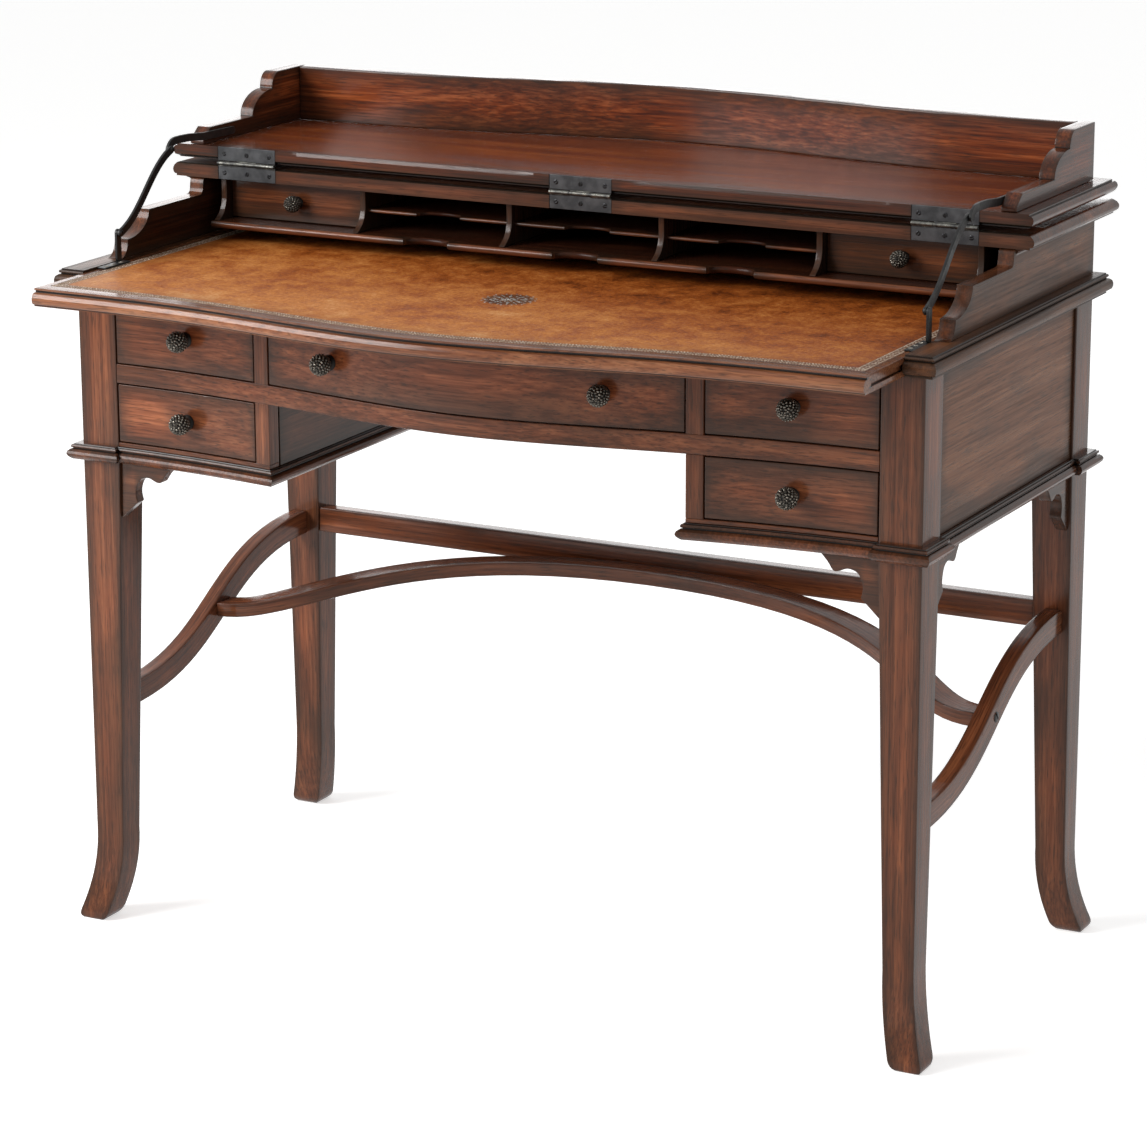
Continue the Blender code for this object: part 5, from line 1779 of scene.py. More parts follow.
@dataclass
class WritingSlide:
    """The pull-out slide: a moulded board with a leather panel let into it.

    Each row of the profile has a height, how far the nose stands out there and how far the sides do.
    """

    half: float = 0.4965
    nose_y: float = -0.1145
    rear_y: float = 0.34
    groove_y: float = -0.096
    groove_step: float = 0.001
    low: float = 0.749
    top: float = 0.769
    leather_side: float = 0.009
    leather_front: float = 0.0225
    leather_rear: float = 0.015
    leather_thick: float = 0.0014
    leather_lip: Point = (0.0004, 0.0001)
    leather_round: float = 0.0008
    leather_cell: float = 0.008
    tool_sunk: float = 0.0002
    dot_insets: Point = (0.0024, 0.0116)
    dot: float = 0.0012
    dot_spacing: float = 0.0034
    flower: float = 0.0034
    flower_inset: float = 0.007
    flower_spacing: float = 0.0075
    petal_reach: float = 0.55
    profile: tuple[Triple, ...] = (
        (0.0, -0.0042, -0.0006), (0.0022, -0.0042, 0.0), (0.0024, -0.002, 0.0),
        (0.004, -0.0005, 0.0), (0.0062, 0.0, 0.0), (0.0062, 0.0, -0.006), (0.0096, 0.0, -0.006),
        (0.0138, -0.0022, -0.006), (0.0138, -0.0022, 0.0), (0.0148, -0.0042, 0.0),
        (0.0152, -0.0082, 0.0), (0.0176, -0.0082, 0.0), (0.0178, -0.0056, 0.0),
        (0.0196, -0.0052, -0.0003), (0.02, -0.0058, -0.0008),
    )

    def plan(self) -> tuple[list[Point], list[Edge]]:
        """Plan of the slide.

        Returns:
            Its corners, anticlockwise, and how the edge that starts at each is worked.
        """
        plan = [(x, self.nose_y - SLIDE_BOW.at(x)) for x in SLIDE_BOW.stations(-self.half, self.half)]
        edges = [Edge.NOSE] * (len(plan) - 1)
        stops = (self.groove_y, self.groove_y + self.groove_step, self.rear_y)
        plan += [(self.half, y) for y in stops]
        plan += [(-self.half, y) for y in reversed(stops)]
        edges += [Edge.SIDE, Edge.SIDE, Edge.GROOVED, Edge.REAR, Edge.GROOVED, Edge.SIDE, Edge.SIDE]
        return plan, edges

    def recess(self, inset: float) -> Ring:
        """Outline of the leather in plan.

        Args:
            inset: how far it is drawn in from the edge of its bed.

        Returns:
            Its corners.
        """
        plan, edges = self.plan()
        away = {Edge.NOSE: self.leather_front, Edge.REAR: self.leather_rear}
        ring = offset_ring(plan, [-away.get(edge, self.leather_side) - inset for edge in edges])
        corner = ring[len(SLIDE_BOW.stations(-self.half, self.half)) - 1]
        for point in ring:
            if abs(point.x) > corner.x - GAP:
                point.y = max(point.y, corner.y)
        return ring

    def board(self) -> Stock:
        """The slide's board, with the bed for the leather sunk in its top.

        Returns:
            The worked board.
        """
        rows = []
        for rise, nose, groove in self.profile:
            plain = groove if abs(groove) < self.groove_step else 0.0
            outs = {Edge.NOSE: nose, Edge.SIDE: plain, Edge.GROOVED: groove, Edge.REAR: plain}
            rows.append((self.low + rise, outs))
        rings = edge_rings(*self.plan(), rows)
        rings += [level(self.recess(0.0), height) for height in (self.top, self.top - self.leather_thick)]
        return worked(loft(rings), Grain.ACROSS, 0.0)

    def leather(self) -> Stock:
        """The leather panel, a hair below the wood round it.

        Returns:
            The worked panel.
        """
        lip, sunk = self.leather_lip
        drops = ((self.leather_thick, GAP), (lip, GAP), (sunk, self.leather_round))
        rings = [level(self.recess(inset), self.top - drop) for drop, inset in drops]
        return worked(loft(rings), Grain.ACROSS, 0.0, self.leather_cell)

    def border(self) -> Mesh:
        """The tooled border: a roll of small flowers between two rows of dots.

        Returns:
            One mesh of the tooling.
        """
        height = self.top - self.tool_sunk
        seed = turned("tooled_dot", [(1.0, 0.0), (0.8, 0.28), (0.3, 0.45)], 6)
        rolls = [
            ROLLED.mesh(self.recess(inset), height, seed, self.dot, self.dot_spacing, BLIND_TOOLING)
            for inset in self.dot_insets
        ]
        petals = []
        for turn in spread(0, math.tau, 4)[:-1]:
            spot = Vector((self.petal_reach * math.cos(turn), self.petal_reach * math.sin(turn), 0))
            petals.append((spot, UP, turn))
        flower = STAMPED.mesh(petals, leaf_blade("tooled_petal", 0.9, 0.5, 0.12), 1.0, BLIND_TOOLING)
        flower.transform(Matrix.Translation((0, -FACE_Y, 0)))
        ring = self.recess(self.flower_inset)
        rolls.append(ROLLED.mesh(ring, height, flower, self.flower, self.flower_spacing, BLIND_TOOLING))
        return merged("leather_border", rolls)

    def ornament(self) -> Mesh:
        """A rosette of rings of leaves and dots in the middle of the leather.

        Returns:
            One mesh of the rosette.
        """
        centre = Vector((0, ORNAMENT_Y, self.top - self.tool_sunk))
        seed = turned("ornament_dot", [(1.0, 0.0), (0.8, 0.2), (0.3, 0.3)], 8)
        leaf = leaf_blade("ornament_leaf", 1.0, 0.42, 0.05)
        parts = []
        for radius, count, shift, size, shape in (
            (0.007, 8, 0.0, 0.0095, leaf), (0.017, 8, 0.5, 0.011, leaf),
            (0.0185, 8, 0.0, 0.007, leaf), (0.0255, 16, 0.0, 0.0065, leaf),
            (0.0298, 16, 0.5, 0.0014, seed), (0.0125, 8, 0.5, 0.0012, seed),
            (0.0, 1, 0.0, 0.0026, seed),
        ):
            spots = []
            for here in range(count):
                turn = (here + shift) * math.tau / count
                spots.append((centre + Vector((math.cos(turn), math.sin(turn), 0)) * radius, UP, turn))
            parts.append(STAMPED.mesh(spots, shape, size, SILVER_LEAF))
        return merged("leather_ornament", parts)

    def dress(self) -> None:
        """Places the slide, its leather and the tooling."""
        fit("writing_slide", [self.board()], RUBBED_MAHOGANY, "slide")
        hide = finished(joined("leather_hide", [self.leather()]), HIDE)
        place("leather_hide", hide, Slot.LEATHER, "slide", ["leather_panel"])
        place("leather_border", self.border(), Slot.LEATHER, "slide")
        place("leather_ornament", self.ornament(), Slot.LEATHER, "slide")


@dataclass
class HingedBoards:
    """Sizes that the upper board and the lid share along their hinged edges."""

    leaf: float = 0.077
    seat: float = 0.0022
    edge_y: float = 0.2358
    chamfer_clear: float = 0.025
    chamfer: float = 0.0032
    chamfer_run: float = 0.012
    seat_run: float = 0.0002
    rebate_tall: float = 0.002
    rebate_deep: float = 0.005
    dull_reach: float = 0.04
    forward: float = -0.2
    upward: float = 0.9
    profile: tuple[Point, ...] = (
        (0.0, -0.005), (0.0022, -0.005), (0.0024, -0.0026), (0.0042, -0.0008), (0.007, 0.0),
        (0.0096, -0.0004), (0.0126, -0.0022), (0.0147, -0.0046), (0.016, -0.0068),
    )

    def front(self, half: float, chamfered: bool) -> tuple[list[Point], list[Edge]]:
        """The hinged edge from left to right, with the hinges' seats.

        Args:
            half: half the board's width.
            chamfered: whether stopped chamfers run between the hinges.

        Returns:
            Its corners and how the edge that starts at each is worked.
        """
        marks: list[tuple[float, Edge]] = [(-half, Edge.FLAT)]
        for middle in (-HINGE_X, 0.0, HINGE_X):
            marks.append((middle - self.leaf / 2 - GAP, Edge.SEAT))
            marks.append((middle + self.leaf / 2 + GAP, Edge.FLAT))
            if chamfered and middle < HINGE_X:
                marks.append((middle + self.leaf / 2 + self.chamfer_clear, Edge.CHAMFER))
                marks.append((middle + HINGE_X - self.leaf / 2 - self.chamfer_clear, Edge.FLAT))
        plan = [(-half, self.edge_y)]
        edges = [Edge.FLAT]
        for (_, previous), (x, edge) in zip(marks, marks[1:]):
            soft = self.chamfer_run if Edge.CHAMFER in (edge, previous) else self.seat_run
            plan += [(x - soft / 2, self.edge_y), (x + soft / 2, self.edge_y)]
            edges += [Edge.FLAT, edge]
        return plan, edges

    def blackened(self, mesh: Mesh, finish: Mahogany, low: float, high: float) -> Mesh:
        """Gives a board its finish, black along the joint as painted shadow and unpolished on a floor
        inside it.

        Args:
            mesh: the board.
            finish: its finish elsewhere.
            low, high: heights between which the hinged edge is painted black as shadow.

        Returns:
            The same mesh.
        """
        for face in finished(mesh, finish, JOINT_SHADOW, DULL_MAHOGANY).polygons:
            behind = face.center.y - FACE_Y - self.edge_y
            if low - GAP < face.center.z < high + GAP:
                # Painted shadow: the joint's faces that look forward are black
                if behind < self.rebate_deep - GAP and face.normal.y < self.forward:
                    face.material_index = 1
                elif behind < self.dull_reach and face.normal.z > self.upward:
                    face.material_index = 2
        return mesh

    def rows(self, low: float, thick: float, flipped: bool) -> list[tuple[float, dict[Edge, float]]]:
        """Heights and edge offsets of a board, flipped for the lid as it lies open.

        Args:
            low, thick: height of the board's underside and its thickness.
            flipped: whether it is the lid, which is rebated along the joint.

        Returns:
            A height and each kind of edge's offset for every row.
        """
        rows = []
        steps = [(thick - rise, out) for rise, out in reversed(self.profile)] if flipped else self.profile
        for rise, out in steps:
            cut = max(0.0, self.chamfer - (thick - rise))
            sunk = self.rebate_deep if flipped and rise < self.rebate_tall else 0.0
            outs = {Edge.NOSE: out, Edge.SEAT: -self.seat, Edge.CHAMFER: -cut - sunk, Edge.FLAT: -sunk}
            rows.append((low + rise, outs))
        return rows


@dataclass
class UpperCase:
    """Scrolled sides, the top board over them, the back and a cove under the board."""

    thick: float = 0.018
    foot_y: float = 0.062
    step_y: float = 0.0773
    step_rise: float = 0.0205
    top_y: float = 0.1221
    top_rise: float = 0.0482
    ogee_foot_y: float = 0.2295
    ogee_top_y: float = 0.242
    ogee_pull: float = 0.9
    ogee_lean: float = 0.2
    cove_drop: float = 0.0078
    cove_out: float = 0.008
    cove_lap: float = 0.0005
    cove_round: float = 0.8
    flat: float = 0.9
    # How fast the painted shade fades back from the joint on the board's top
    joint_share: float = 0.08
    # Height of the top board's front edge painted black as the joint's shadow
    joint_black: float = 0.0013
    boards: HingedBoards = field(default_factory=HingedBoards)

    def side_outline(self) -> list[Sequence[float]]:
        """Side view of a scrolled side.

        Returns:
            Its outline from the toe up and round.
        """
        low, high = node_box("upper_side_left")
        foot, top = low.z, high.z
        step_z, shelf_z = foot - GAP + self.step_rise, foot - GAP + self.top_rise
        outline = arc((self.foot_y, step_z), (self.step_y - self.foot_y, step_z - foot), -90, 0, 8)
        outline += arc((self.step_y, shelf_z), (self.top_y - self.step_y, shelf_z - step_z), -80, 0, 14)
        start, rise, run = self.ogee_foot_y, top - shelf_z, self.ogee_top_y - self.ogee_foot_y
        leave = (start + run * self.ogee_pull, shelf_z)
        arrive = (start + run * self.ogee_lean, shelf_z + rise * self.ogee_pull)
        outline += bezier(((start, shelf_z), leave, arrive, (self.ogee_top_y, top)), 10)
        return [*outline, (high.y, top), (high.y, foot)]

    def board(self) -> Stock:
        """The top board, nosed at its ends and back and flat where it is hinged.

        Returns:
            The worked board, its top painted darker towards the joint as shade under the lid.
        """
        low, high = node_box("upper_board")
        plan, edges = self.boards.front(high.x, False)
        plan += [(high.x, self.boards.edge_y), (high.x, high.y), (low.x, high.y)]
        rows = self.boards.rows(low.z, high.z - low.z, False)
        stock = worked(loft(edge_rings(plan, edges + [Edge.NOSE] * 3, rows)), Grain.ACROSS, 0.0)
        # Painted shade: the quirk coat darkens the top towards the joint
        behind = (stock.points[:, 1] - self.boards.edge_y) * self.joint_share
        upper = stock.points[:, 2] > high.z - GAP
        stock.quirk = np.where(upper, np.minimum(stock.quirk, behind), stock.quirk)
        return stock

    def coves(self) -> list[Stock]:
        """Cove strips under the board along both sides and the back.

        Returns:
            The worked strips.
        """
        top = node_box("upper_board")[0].z - GAP
        rear = node_box("upper_back")[1].y
        out, foot = self.cove_out, top - self.cove_drop
        curve = arc((out, foot), (out, self.cove_drop * self.cove_round), 180, 90, 6)
        section = [(-self.cove_lap, top), (-self.cove_lap, foot), *curve, (out, top)]
        stocks = []
        for side in Side:
            ends = (self.ogee_top_y, rear)
            rings = [[(side.value * (HALF + away), y, z) for away, z in section] for y in ends]
            stocks.append(worked(loft(rings), Grain.DEEP, 0.0))
        rings = [[(x, rear + away, z) for away, z in section] for x in (-HALF, HALF)]
        return [*stocks, worked(loft(rings), Grain.ACROSS, 0.0)]

    def dress(self) -> None:
        """Places the upper case."""
        for side in Side:
            node = f"upper_side_{side.label}"
            shape = sawn(self.side_outline(), side, HALF - self.thick, HALF)
            mesh = joined(node + "_wood", [worked(shape, Grain.DEEP, SHOW_EASE)])
            # Outer faces take the panel finish and inner faces painted shade
            for face in finished(mesh, MAHOGANY, PANEL_MAHOGANY, SHADED_MAHOGANY).polygons:
                outward = face.normal.x * side.value
                if abs(outward) > self.flat:
                    face.material_index = 1 if outward > 0 else 2
            place(node + "_wood", mesh, Slot.MAHOGANY, "frame", [node])
        top = node_box("upper_board")[1].z
        mesh = joined("upper_board_wood", [self.board(), *self.coves()])
        # Painted shadow along the joint, and a dull floor inside it
        mesh = self.boards.blackened(mesh, MAHOGANY, top - self.joint_black, top)
        place("upper_board_wood", mesh, Slot.MAHOGANY, "frame", ["upper_board"])
        back = worked(block(*node_box("upper_back")), Grain.ACROSS)
        # Painted shade on the back inside the upper case
        fit("upper_back", [back], SHADED_MAHOGANY, slot=Slot.DARK_MAHOGANY)


@dataclass
class Pigeonholes:
    """Floor, partitions, shelves and two small drawers inside the upper case.

    The notch is given in shares of its width and depth.
    """

    bay: float = 0.191
    thick: float = 0.007
    floor_thick: float = 0.008
    floor_lap: float = 0.001
    notch_wide: float = 0.057
    notch_deep: float = 0.016
    notch: tuple[Point, ...] = ((-0.5, 0.0), (-0.36, 0.75), (0.0, 1.0), (0.36, 0.75), (0.5, 0.0))
    toe_y: float = 0.227
    front_y: float = 0.2455
    toe_z: float = 0.815
    hollow: float = 0.006
    upright_ease: float = 0.0022
    shelf_z: float = 0.8125
    shelf_thick: float = 0.004
    shelf_y: float = 0.252
    shelf_round: float = 0.45
    small_wall: float = 0.006
    small_drop: float = 0.004
    knob_size: float = 0.82
    nose_reach: float = 0.004
    forward: float = -0.15

    def shelf(self, span: Point, front: float, low: float, thick: float, bays: Sequence[float]) -> Stock:
        """A shelf with a rounded front edge and a finger notch in each bay.

        Args:
            span: its left and right.
            front: Y of its front.
            low, thick: height of its underside and its thickness.
            bays: middle of each bay.

        Returns:
            The worked shelf.
        """
        back = node_box("interior_floor")[1].y
        plan = [(span[0], front)]
        for middle in bays:
            plan += smooth([
                (middle + self.notch_wide * along, front + self.notch_deep * deep)
                for along, deep in self.notch
            ], 5)
        plan.append((span[1], front))
        edges = [Edge.NOSE] * (len(plan) - 1) + [Edge.FLAT] * 3
        plan += [(span[1], back), (span[0], back)]
        rows = []
        for turn in spread(-90, 90, 6):
            out = (math.cos(math.radians(turn)) - 1) * thick * self.shelf_round
            rows.append((low + thick / 2 * (1 + math.sin(math.radians(turn))), {Edge.NOSE: out}))
        return worked(loft(edge_rings(plan, edges, rows)), Grain.ACROSS, 0.0)

    def upright(self, x: float, low: float) -> Stock:
        """A partition whose front edge sweeps forward to a toe.

        Args:
            x: its middle.
            low: height of its foot.

        Returns:
            The worked partition.
        """
        back, top = node_box("interior_floor")[1].y, node_box("interior_floor")[1].z
        toe = smooth((
            (self.toe_y, low), (self.front_y - self.hollow, low + 1.6 * self.hollow),
            (self.front_y, self.toe_z), (self.front_y, top),
        ), 6)
        outline = [(back, low), *toe, (back, top)]
        rings = [[(x + out, y, z) for y, z in outline] for out in (-self.thick / 2, self.thick / 2)]
        return worked(loft(rings), Grain.UPRIGHT, self.upright_ease)

    def place_rack(self, node: str, stocks: Sequence[Stock], front: float, top: float) -> None:
        """Places shelves and uprights with painted shade: nearly black inside, less dark on their front
        edges.

        Args:
            node: their CAD node.
            stocks: the worked pieces.
            front: front of the shelves, whose notches keep the nearly black painted shade.
            top: height above which there are only uprights.
        """
        # Painted shade: the darkest finish inside, a less dark one on edges that face forward
        mesh = finished(joined(node + "_wood", stocks), SHADED_MAHOGANY, SHADE_DARKENED_MAHOGANY)
        for face in mesh.polygons:
            reach = front if face.center.z < top else self.shelf_y
            ahead = face.center.y - FACE_Y < reach + self.nose_reach
            face.material_index = int(ahead and face.normal.y < self.forward)
        place(node + "_wood", mesh, Slot.DARK_MAHOGANY, "frame", [node])

    def place_drawer(self, side: Side) -> None:
        """Places one small drawer: its front, its box and its knob.

        Args:
            side: its end of the desk.
        """
        node, body = f"small_drawer_{side.label}", f"small_{side.label}_drawer"
        low, high = node_box(node)
        wall = self.small_wall
        behind, rear, edge = low.y + 2 * wall, high.y, high.z - self.small_drop
        front = block((low.x + GAP, low.y, low.z + GAP), (high.x - GAP, behind, high.z - GAP))
        fronts = [worked(front, Grain.ACROSS)]
        walls = (
            ((low.x + GAP, behind, low.z), (low.x + wall, rear, edge)),
            ((high.x - wall, behind, low.z), (high.x - GAP, rear, edge)),
            ((low.x + wall, rear - wall, low.z), (high.x - wall, rear, edge)),
            ((low.x + wall, behind, low.z), (high.x - wall, rear - wall, low.z + wall)),
        )
        box = [worked(block(*corners), Grain.DEEP, IRON_EASE, HIDDEN_CELL) for corners in walls]
        # The small drawer's front is darker than the outside: painted shade inside the upper case
        fit(node, fronts, SHADE_DARKENED_MAHOGANY, body, Slot.DARK_MAHOGANY, "_front")
        fit(node, box, LINING, body, Slot.DARK_MAHOGANY, "_box", stands=False)
        foot = Vector(((low.x + high.x) / 2, low.y, (low.z + high.z) / 2))
        knob = Knob().mesh(node + "_knob", [(foot, 0.0)], self.knob_size)
        place(node + "_knob", knob, Slot.BRONZE, body, [f"small_knob_{side.label}"])

    def dress(self) -> None:
        """Places the rack and the small drawers."""
        low, high = node_box("interior_floor")
        floor_top = low.z + self.floor_thick
        middles = (-self.bay, 0.0, self.bay)
        stocks = [self.shelf((low.x, high.x), low.y, low.z, self.floor_thick, middles)]
        half = high.x - self.thick / 2
        stocks += [self.upright(x, floor_top - self.floor_lap) for x in (-half, half)]
        self.place_rack("interior_floor", stocks, low.y, floor_top)
        stocks = [self.upright(self.bay * share, floor_top + GAP) for share in (-1.5, -0.5, 0.5, 1.5)]
        reach = self.bay / 2 - self.thick / 2
        for middle in middles:
            span = (middle - reach, middle + reach)
            stocks.append(self.shelf(span, self.shelf_y, self.shelf_z, self.shelf_thick, (middle,)))
        self.place_rack("pigeonhole_rack", stocks, self.shelf_y, high.z)
        for side in Side:
            self.place_drawer(side)


@dataclass
class Lid:
    """The lid folded back on the top board, with its bowed gallery."""

    half: float = 0.536
    rear_y: float = 0.4915
    gallery_rear: float = 0.4705
    gallery_thick: float = 0.016
    gallery_half: float = 0.4967
    gallery_ease: float = 0.0022
    side_thick: float = 0.018
    rail: float = 0.018
    nose_y: float = 0.24
    nose: tuple[Point, ...] = ((0.0, 0.0), (0.001, 0.3), (0.006, 0.55), (0.016, 1.0))
    mirror_gap: float = 0.0015
    # Height of the lid's rebate painted black as the joint's shadow
    joint_black: float = 0.0034
    boards: HingedBoards = field(default_factory=HingedBoards)
    case: UpperCase = field(default_factory=UpperCase)

    def board(self) -> Stock:
        """The lid board with its bowed far edge.

        Returns:
            The worked board.
        """
        low, high = node_box("lid_board")
        plan, edges = self.boards.front(self.half, True)
        places = SLIDE_BOW.stations(self.half, -self.half)
        plan += [(self.half, self.boards.edge_y), *((x, self.rear_y + SLIDE_BOW.at(x)) for x in places)]
        edges += [Edge.NOSE] * (len(places) + 1)
        rows = self.boards.rows(low.z, high.z - low.z, True)
        return worked(loft(edge_rings(plan, edges, rows)), Grain.ACROSS, 0.0)

    def gallery(self) -> Stock:
        """The bowed gallery panel.

        Returns:
            The worked panel.
        """
        low, high = node_box("gallery_panel")
        front = self.gallery_rear - self.gallery_thick
        shape = bowed(
            (-self.gallery_half, self.gallery_half), lambda x: front + SLIDE_BOW.at(x),
            lambda x: self.gallery_rear + SLIDE_BOW.at(x), (low.z, high.z), SLIDE_BOW,
        )
        return worked(shape, Grain.ACROSS, self.gallery_ease)

    def side_outline(self) -> list[Sequence[float]]:
        """Gallery side: the lower side's scroll turned over about the hinge, less a gap.

        Returns:
            Its outline from the nose up and round.
        """
        low, high = node_box("gallery_side_left")
        foot, top, rail = low.z, high.z, low.z + self.rail
        case = self.case
        upper_foot = node_box("upper_side_left")[0].z - GAP
        step_z = 2 * HINGE_Z - upper_foot - case.step_rise - self.mirror_gap
        step_y, top_y, lobe_y = (
            2 * HINGE_Y - y + self.mirror_gap for y in (case.step_y, case.foot_y, case.top_y)
        )
        outline = smooth([(self.nose_y + out, foot + self.rail * share) for out, share in self.nose], 4)
        outline += arc((step_y, rail), (step_y - lobe_y, step_z - rail), 180, 98, 14)
        outline += arc((top_y, step_z), (top_y - step_y, top - step_z), 180, 90, 8)
        return [*outline, (self.gallery_rear, top), (self.gallery_rear, foot)]

    def dress(self) -> None:
        """Places the lid and its gallery."""
        foot = node_box("lid_board")[0].z
        mesh = joined("lid_board_wood", [self.board()])
        # Painted shadow in the lid's rebate along the joint
        mesh = self.boards.blackened(mesh, RED_MAHOGANY, foot, foot + self.joint_black)
        place("lid_board_wood", mesh, Slot.MAHOGANY, "lid", ["lid_board"])
        fit("gallery_panel", [self.gallery()], RED_MAHOGANY, "lid")
        for side in Side:
            shape = sawn(self.side_outline(), side, HALF - self.side_thick, HALF)
            fit(f"gallery_side_{side.label}", [worked(shape, Grain.DEEP, SHOW_EASE)], RED_MAHOGANY, "lid")


@dataclass
class Hinges:
    """Three iron butt hinges let into both boards, with slotted screws."""

    boards: HingedBoards = field(default_factory=HingedBoards)
    leaf_thick: float = 0.0018
    leaf_ease: float = 0.0003
    front_y: float = 0.236
    knuckle: float = 0.0026
    knuckle_half: float = 0.0125
    knuckle_ease: float = 0.0002
    tongue: float = 0.004
    screw: float = 0.003
    screw_rise: float = 0.0005
    screw_reach: float = 0.0305
    screw_spins: Triple = (0.7, 1.8, 2.9)

    def knuckles(self, x: float, ends: Sequence[Point], upper: bool) -> list[Stock]:
        """Rolled knuckles of a leaf, each with the tongue that runs from it into the leaf.

        Args:
            x: the hinge's middle.
            ends: left and right of each knuckle from there.
            upper: whether the leaf is on the lid.

        Returns:
            The worked knuckles.
        """
        up = -1 if upper else 1
        front = self.front_y - HINGE_Y
        turn = 360 - math.degrees(math.acos(front / self.knuckle))
        outline = arc((0, 0), (self.knuckle, self.knuckle), 0, turn, 22)
        outline += [Vector((front, -self.tongue)), Vector((self.knuckle, -self.tongue))]
        stocks = []
        for pair in ends:
            rings = [[(x + along, HINGE_Y + y, HINGE_Z + up * z) for y, z in outline] for along in pair]
            stocks.append(worked(loft(rings), Grain.ACROSS, self.knuckle_ease))
        return stocks

    def place_half(self, label: str, x: float, upper: bool, head: Mesh) -> None:
        """Places one half of a hinge: its leaf, its knuckles and its screws.

        Args:
            label: the hinge's word in the names of nodes.
            x: the hinge's middle.
            upper: whether the half is on the lid.
            head: the screw to repeat.
        """
        node = f"hinge_{'upper' if upper else 'lower'}_{label}"
        low, high = node_box("lid_board" if upper else "upper_board")
        half, rear = self.boards.leaf / 2, self.front_y + self.leaf_thick
        outer, inner = half - GAP, self.knuckle_half + GAP
        ends = ((-self.knuckle_half, self.knuckle_half),) if upper else ((-outer, -inner), (inner, outer))
        leaf = block((x - half, self.front_y, low.z), (x + half, rear, high.z))
        leaf = joined(node + "_leaf", [worked(leaf, Grain.ACROSS, self.leaf_ease)])
        knuckles = joined(node + "_knuckles", self.knuckles(x, ends, upper))
        spots = []
        for along, spin in zip((-self.screw_reach, 0.0, self.screw_reach), self.screw_spins):
            spot = Vector((x + along, self.front_y, (low.z + high.z) / 2))
            spots.append((spot, Vector((0, -1, 0)), spin + x))
        screws = STAMPED.mesh(spots, head, 1.0, DARK_SCREW)
        # Knuckles in a paler iron: a painted highlight along them, with rubbing
        parts = [finished(leaf, HINGE_IRON), finished(knuckles, KNUCKLE_HIGHLIGHT_IRON), screws]
        place(node + "_iron", merged(node + "_iron", parts), Slot.IRON, "lid" if upper else "frame", [node])

    def dress(self) -> None:
        """Places the hinges, each half on the body that it moves with."""
        head = screw_head("hinge_screw", self.screw, self.screw_rise)
        for label, x in (("left", -HINGE_X), ("middle", 0.0), ("right", HINGE_X)):
            for upper in (False, True):
                self.place_half(label, x, upper, head)


